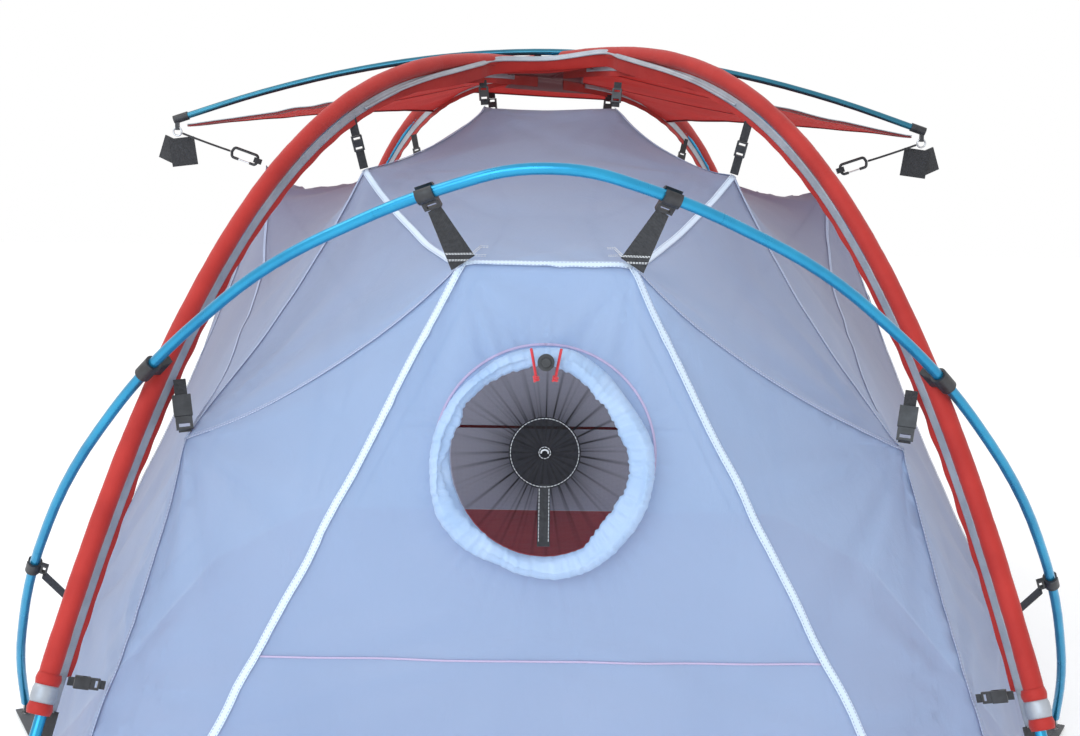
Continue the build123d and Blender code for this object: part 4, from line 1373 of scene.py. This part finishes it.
def vent_collar():
    """The gathered tube of cloth round the vent, turned outward and drawn in at its mouth."""
    origin, right, up, out = vent_frame()
    around, rows = 480, 30
    verts, faces = [], []
    keys = np.linspace(0, 1, 10)
    share = np.linspace(0, 1, rows)
    gather = np.interp(share, keys, (0, 0.3, 0.5, 0.7, 0.9, 1.1, 1.5, 1.3, 0.8, 0.2))
    for k in range(around):
        a = 2 * math.pi * k / around
        outline = np.mean([clock(COLLAR_OUTLINE, a + d) for d in (-0.08, -0.04, 0, 0.04, 0.08)])
        mouth = np.mean([clock(COLLAR_MOUTH, a + d) for d in (-0.03, 0, 0.03)])
        rim = VENT_RX * VENT_RZ / math.hypot(VENT_RZ * math.sin(a), VENT_RX * math.cos(a)) - 0.001
        deep = COLLAR_DEEP * (0.86 + 0.14 * math.sin(2 * a + 0.6))
        inner = min(mouth + 0.003, rim)
        section = [(min(SEAM_RING, outline), 0.001), (outline - 0.004, 0.010), (outline, 0.019),
                   (outline - 0.003, 0.028), (outline - 0.010, 0.034), ((outline + mouth) / 2, deep),
                   (mouth + 0.002, deep - 0.004), (mouth, deep - 0.011), (inner, 0.014), (rim, 0.002)]
        for j in range(rows):
            r = np.interp(share[j], keys, [p[0] for p in section])
            d = np.interp(share[j], keys, [p[1] for p in section])
            pleat = math.sin(62 * a + 2.2 * math.sin(7 * a) + share[j] * 1.2)
            pleat += 0.6 * math.sin(101 * a + 2.0 * math.sin(11 * a))
            pleat += 0.8 * math.sin(23 * a + math.sin(3 * a))
            slack = noise.noise(Vector((3.1 * math.sin(a), 3.1 * math.cos(a), share[j] * 3)))
            rough = gather[j] * 0.0006 * pleat + 0.0030 * slack * min(1, gather[j])
            r, d = r + rough * 0.7, d + rough
            verts.append(origin + right * r * math.sin(a) + up * r * math.cos(a) + out * d)
    for k in range(around):
        for j in range(rows - 1):
            a, b = k * rows + j, (k + 1) % around * rows + j
            faces.append((a, a + 1, b + 1, b))
    return new_object("vent_collar_gathered", verts, faces, [COLLAR])


def vent_net():
    """The pleated net that is gathered from the vent's rim to the disc."""
    origin, right, up, out = vent_frame()
    around, rows = 720, 30
    verts, fold = [], []
    for j in range(rows):
        s = j / (rows - 1)
        ease = s * s * (3 - 2 * s)
        for k in range(around):
            a = 2 * math.pi * k / around
            rim_x, rim_z = VENT_RX - 0.002, VENT_RZ - 0.002
            wave = math.sin(31 * a + 1.6 * math.sin(4 * a)) + 0.7 * math.sin(53 * a + 1.9 * math.sin(5 * a))
            wave += 0.5 * math.sin(87 * a + math.sin(9 * a))
            rx = rim_x + (DISC_R - rim_x) * s
            rz = rim_z + (DISC_R - rim_z) * s
            d = 0.001 - MESH_DEPTH * (0.35 * s + 0.65 * ease) + 0.0011 * wave * s
            verts.append(origin + right * rx * math.sin(a) + up * rz * math.cos(a) + out * d)
            sharp = max(0.0, wave / 2.2) ** 1.5
            fold.append(min(1.0, 0.10 + 0.55 * s ** 2.2 + 0.75 * sharp * (0.25 + 0.75 * s)))
    faces = ring_faces(rows, around)
    obj = new_object("vent_net_gathered", verts, faces, [NET], flat_uv(verts, faces, right, up))
    set_attribute(obj, "fold", fold)
    return obj


def flat_uv(verts, faces, along, up):
    verts = np.array(verts)
    return [(verts[i] @ along, verts[i] @ up) for f in faces for i in f]


def set_attribute(obj, name, values):
    layer = obj.data.attributes.new(name, "FLOAT", "POINT")
    layer.data.foreach_set("value", np.asarray(values, np.float32))


def vent_disc():
    """The doubled net disc at the centre, with its gathers caught under a ring of white stitches."""
    origin, right, up, out = vent_frame()
    around, rows = 240, 16
    base = origin + out * (0.001 - MESH_DEPTH)
    verts, faces, fold = [base + out * 0.001], [], [0.9]
    for j in range(1, rows + 1):
        s = j / rows
        for k in range(around):
            a = 2 * math.pi * k / around
            ray = math.sin(26 * a + math.sin(5 * a)) * 0.5 + 0.3 * math.sin(47 * a)
            bulge = 0.0012 * (1 - s) + 0.0006 * ray * math.sin(math.pi * min(s * 1.1, 1))
            spoke = right * math.sin(a) + up * math.cos(a)
            verts.append(base + spoke * DISC_R * s + out * (0.0012 + bulge))
            fold.append(min(1.0, 0.45 + 0.5 * max(0, ray) + 0.25 * (s < 0.2)))
    for k in range(around):
        faces.append((0, 1 + (k + 1) % around, 1 + k))
    for j in range(rows - 1):
        for k in range(around):
            a, b = 1 + j * around + k, 1 + j * around + (k + 1) % around
            faces.append((a, b, b + around, a + around))
    obj = new_object("vent_net_disc", verts, faces, [NET_DISC], flat_uv(verts, faces, right, up))
    set_attribute(obj, "fold", fold)
    return obj


def stitch(start, stop, lift, radius=0.0004):
    """One thread loop between two holes, as a short bowed tube."""
    start, stop, lift = (np.array(v, float) for v in (start, stop, lift))
    s = np.linspace(0, 1, 5)[:, None]
    line = start + (stop - start) * s + lift * radius * 1.4 * np.sin(math.pi * s)
    return tube(line, radius, lift, 6)


def stitches(name, runs, material):
    """Many stitches in one mesh. runs is a list of (start, stop, lift)."""
    verts, faces = [], []
    for start, stop, lift in runs:
        v, f, _ = stitch(start, stop, lift)
        faces += [tuple(i + len(verts) for i in face) for face in f]
        verts += list(v)
    return new_object(name, verts, faces, [material])


def row_of_stitches(line, lift, stitch_length=0.0032, gap=0.0016):
    """Stitches end to end along a line."""
    line = np.asarray(line, float)
    count = max(1, int(run_of(line)[-1] / (stitch_length + gap)))
    fine = resample(line, 4 * count + 1)
    ends = [(fine[4 * k], fine[4 * k + 3]) for k in range(count)]
    return [(start, stop - (stop - start) * 0.08, lift) for start, stop in ends]


def vent_stitching():
    origin, right, up, out = vent_frame()
    base = origin + out * (0.0035 - MESH_DEPTH)
    ring = [base + (right * math.sin(a) + up * math.cos(a)) * (DISC_R - 0.002)
            for a in np.linspace(0, 2 * math.pi, 121)]
    inner = [base + out * 0.0008 + (right * math.sin(a) + up * math.cos(a)) * 0.0065
             for a in np.linspace(0, 2 * math.pi, 25)]
    runs = row_of_stitches(ring, out, 0.0024, 0.0016) + row_of_stitches(inner, out, 0.0024, 0.0012)
    return stitches("vent_disc_stitches", runs, WHITE_THREAD)


collar = vent_collar()
rides(collar, "tent", "white_fabric", "vent_collar")
net_piece = vent_net()
rides(net_piece, "tent", "black_mesh", "vent_mesh")
disc = vent_disc()
rides(disc, "tent", "black_mesh", "vent_mesh_disc")
disc_stitches = vent_stitching()
rides(disc_stitches, "tent", "white_fabric")


# Trim and cords -----------------------------------------------------------------------------------
def tree_of(obj):
    mesh = obj.data
    points = [obj.matrix_world @ v.co for v in mesh.vertices]
    return BVHTree.FromPolygons(points, [tuple(p.vertices) for p in mesh.polygons])


bpy.context.view_layer.update()
canopy_tree = tree_from(canopy_points, net.triangles)


def level_line(start_y, turn, z, reach, count):
    """Points on the cloth at one height, found from start_y looking along y in direction turn."""
    found = []
    for x in np.linspace(-reach, reach, count):
        hit = canopy_tree.ray_cast(Vector((x, start_y, z)), Vector((0, turn, 0)))[0]
        if hit:
            found.append((hit.x, hit.y - 0.0012 * turn, hit.z))
    return np.array(found)


def binding_lines():
    """The thin coloured seams across the front, outside, and across the rear wall, inside."""
    front = level_line(-1.6, 1, 0.305, 0.310, 80)
    rear = level_line(0.3, 1, 0.215, 0.355, 80)
    return [ribbon("binding", front, FRONT, 0.0022, 0.0008, FAINT_PINK),
            ribbon("binding", rear, FRONT, 0.007, 0.0012, HEM)]


# Across, up and out from the vent's centre
NET_TIE = ((-0.0040, -0.0005, -0.0270), (-0.0030, 0.0022, -0.0245), (0.0004, 0.0034, -0.0240),
           (0.0034, 0.0020, -0.0245), (0.0040, -0.0006, -0.0270))


def vent_trim():
    """The pink seam round the collar and the tie at the net's centre."""
    origin, right, up, out = vent_frame()
    around = np.linspace(0, 2 * math.pi, 181)
    ring = []
    for a in around:
        spot = origin + (right * math.sin(a) + up * math.cos(a)) * (SEAM_RING + 0.002)
        hit = canopy_tree.ray_cast(Vector(spot + out * 0.08), Vector(-out))[0]
        ring.append(np.array(hit) + out * 0.0012 if hit else spot + out * 0.0015)
    made = [ribbon("ring", ring, out, 0.0028, 0.0008, FAINT_PINK)]
    tie = [origin + right * x + up * z + out * d for x, z, d in NET_TIE]
    verts, faces, _ = tube(smooth_line(tie, 24), 0.0009, out, 10)
    made.append(new_object("tie", verts, faces, [WHITE_THREAD]))
    return made


def webbing_stitches():
    """Two rows of white stitches on the webbing below the disc, found on the CAD webbing's own face."""
    origin, right, up, out = vent_frame()
    tree = tree_of(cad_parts["vent_webbing"])
    runs = []
    for x in (-0.0054, 0.0054):
        line = []
        for z in np.linspace(-0.040, -0.096, 40):
            hit = tree.ray_cast(Vector(origin + right * x + up * z + out * 0.05), Vector(-out))[0]
            if hit:
                line.append(np.array(hit) + out * 0.0002)
        if len(line) > 4:
            runs += row_of_stitches(line, out, 0.0026, 0.0014)
    return runs


ROOF_CORNER = ANCHORS["roof_front"]


def bar_tacks():
    """White bar-tacks across the lower ends of the webbing that comes down from the hoops."""
    runs = []
    tree = tree_of(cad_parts["hoop_straps"])
    for sx in (1, -1):
        for sy in (1, -1):
            for z in (ROOF_CORNER[2] + 0.004, ROOF_CORNER[2] + 0.011):
                for shift in (0.0, 0.0012):
                    line = []
                    for x in np.linspace(ROOF_CORNER[0] - 0.020, ROOF_CORNER[0] + 0.020, 30):
                        start, aim = Vector((sx * x, -sy * 1.3, z + shift)), Vector((0, sy, 0))
                        hits = [t.ray_cast(start, aim)[0] for t in (tree, canopy_tree)]
                        hits = [h for h in hits if h]
                        if hits:
                            nearest = min(hits, key=lambda h: (h - start).length)
                            line.append(np.array(nearest) - (0, sy * 0.0006, 0))
                    if len(line) > 4:
                        runs += row_of_stitches(line, np.array((0, -sy, 0.0)), 0.0030, 0.0004)
    return runs


trim = join(binding_lines() + vent_trim(), "seam_bindings")
rides(trim, "tent", "white_fabric")
white_stitches = stitches("white_strap_stitches", webbing_stitches() + bar_tacks(), WHITE_THREAD)
rides(white_stitches, "tent", "white_fabric")


def cord_piece(name, points, diameter, material):
    """A cord as one curve, with its route's points as the spline's."""
    curve = bpy.data.curves.new(name, "CURVE")
    curve.dimensions = "3D"
    spline = curve.splines.new("NURBS")
    spline.points.add(len(points) - 1)
    for k, p in enumerate(points):
        spline.points[k].co = (*p, 1)
    spline.order_u = 3
    spline.use_endpoint_u = True
    spline.resolution_u = 12
    curve.bevel_depth = diameter / 2
    curve.use_fill_caps = True
    curve.bevel_resolution = 4
    curve.materials.append(material)
    obj = bpy.data.objects.new(name, curve)
    bpy.context.scene.collection.objects.link(obj)
    return obj


# The cords' own points. The tip cord runs from the brow pole's ring to the snap hook, and the drawcord's
# two ends from the collar past the cord lock, as (across, up, out) from the vent's centre.
TIP_CORD, DRAWCORD = 0.0036, 0.0032
TIP_ROUTE = ((0.6333, 0.0, 0.8950), (0.5920, 0.0, 0.8794), (0.5513, 0.0, 0.8663))
DRAW_ROUTE = ((0.016, 0.116, 0.039), (0.013, 0.102, 0.048), (0.010, 0.084, 0.042))
for side_name, sx in (("right", 1), ("left", -1)):
    route = [(sx * x, y, z) for x, y, z in TIP_ROUTE]
    piece = cord_piece("tip_cord_" + side_name, route, TIP_CORD, BLACK_THREAD)
    rides(piece, "tent", "black_cord", *(["tip_cords"] if sx > 0 else []))
    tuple(route[0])


def end_knot(name, at, along, out):
    """The knot in a drawcord's end: two tight turns round the cord."""
    along = unit(np.array(along))
    aside = unit(np.cross(along, out))
    over = np.cross(aside, along)
    turn = np.linspace(0, 4 * math.pi, 64)[:, None]
    line = at + 0.0022 * (aside * np.cos(turn) + over * np.sin(turn))
    line = line + along * (turn / (4 * math.pi) - 0.6) * 0.0056
    verts, faces, _ = tube(line, 0.0014, along, 12)
    return new_object(name, verts, faces, [RED_THREAD])


vent_origin, vent_right, vent_up, vent_out = vent_frame()
for side_name, sx in (("right", 1), ("left", -1)):
    route = [vent_origin + vent_right * sx * x + vent_up * z + vent_out * d for x, z, d in DRAW_ROUTE]
    piece = cord_piece("vent_drawcord_" + side_name, route, DRAWCORD, RED_THREAD)
    rides(piece, "tent", "red_cord", *(["vent_drawcord"] if sx > 0 else []))
    knot = end_knot("vent_drawcord_knot_" + side_name, route[-1], route[-1] - route[-2], vent_out)
    rides(knot, "tent", "red_cord")
    tuple(route[0])


# Finishes of the CAD pieces that stay -------------------------------------------------------------
FINISHES = (
    (BLUE, ("main_pole_left", "main_pole_right", "front_hoop_pole", "rear_hoop_pole")),
    (TEAL, ("brow_pole",)),
    (BARE, ("pole_end_tips", "pole_ferrules")),
    (STEEL, ("brow_tip_rings", "snap_gate_left", "snap_gate_right")),
    (PLASTIC, ("brow_pole_caps", "buckle_plugs", "buckle_sockets", "crossing_connectors", "hoop_clips",
               "roof_clips", "snap_hook_left", "snap_hook_right", "vent_cord_lock", "vent_cord_lock_button")),
    (WEBBING, ("brow_tip_tabs", "crossing_straps", "foot_tabs", "hoop_straps", "lower_straps",
               "roof_clip_straps", "shoulder_loops", "sleeve_end_straps", "vent_webbing")),
)
for material, names in FINISHES:
    for node_name in names:
        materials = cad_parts[node_name].data.materials
        materials.clear()
        materials.append(material)


# Camera, light and floor --------------------------------------------------------------------------
CAMERA_AT = (0.0, -2.590, 0.833)
PITCH, ROLL = 7.4, 0.9
FOCAL_PX, FRAME_PX = 1483, 1080
AXIS_PX = 549


def camera():
    data = bpy.data.cameras.new("camera")
    data.sensor_width = 36
    data.lens = FOCAL_PX / FRAME_PX * 36
    data.shift_x = -(AXIS_PX - FRAME_PX / 2) / FRAME_PX
    data.clip_start, data.clip_end = 0.05, 100
    obj = bpy.data.objects.new("camera", data)
    obj.location = CAMERA_AT
    obj.rotation_euler = (math.radians(90 - PITCH), math.radians(-ROLL), 0)
    bpy.context.scene.collection.objects.link(obj)
    bpy.context.scene.camera = obj


def area_light(name, at, aim, size, power, colour=(1, 1, 1)):
    data = bpy.data.lights.new(name, "AREA")
    data.shape = "RECTANGLE"
    data.size, data.size_y = size
    data.energy = power
    data.color = colour
    obj = bpy.data.objects.new(name, data)
    obj.location = at
    obj.rotation_euler = (Vector(aim) - Vector(at)).to_track_quat("-Z", "Y").to_euler()
    bpy.context.scene.collection.objects.link(obj)


def studio():
    scene = bpy.context.scene
    scene.view_settings.view_transform = "Standard"
    world = bpy.data.worlds.new("studio")
    world.use_nodes = True
    background = world.node_tree.nodes["Background"]
    background.inputs[0].default_value = (1.0, 1.0, 1.0, 1)
    background.inputs[1].default_value = 1.0
    scene.world = world
    area_light("key", (-1.2, -4.2, 1.9), (0, 0, 0.5), (3.0, 2.2), 70, (0.72, 0.88, 1.0))
    area_light("top", (-2.6, -1.2, 3.4), (0, 0, 0.5), (2.0, 2.0), 35, (1.0, 0.99, 0.97))
    floor = Shader("studio_floor", roughness=0.9, Emission_Color=(1, 1, 1, 1), Emission_Strength=0.12)
    floor.colour(floor.shades(floor.noise(3), (0.93, 0.93, 0.93), (0.96, 0.96, 0.96)))
    size = 14
    plane = new_object("studio_floor", [(-size, -size, -0.003), (size, -size, -0.003), (size, size, -0.003),
                                        (-size, size, -0.003)], [(0, 1, 2, 3)], [floor.finish()])


camera()
studio()
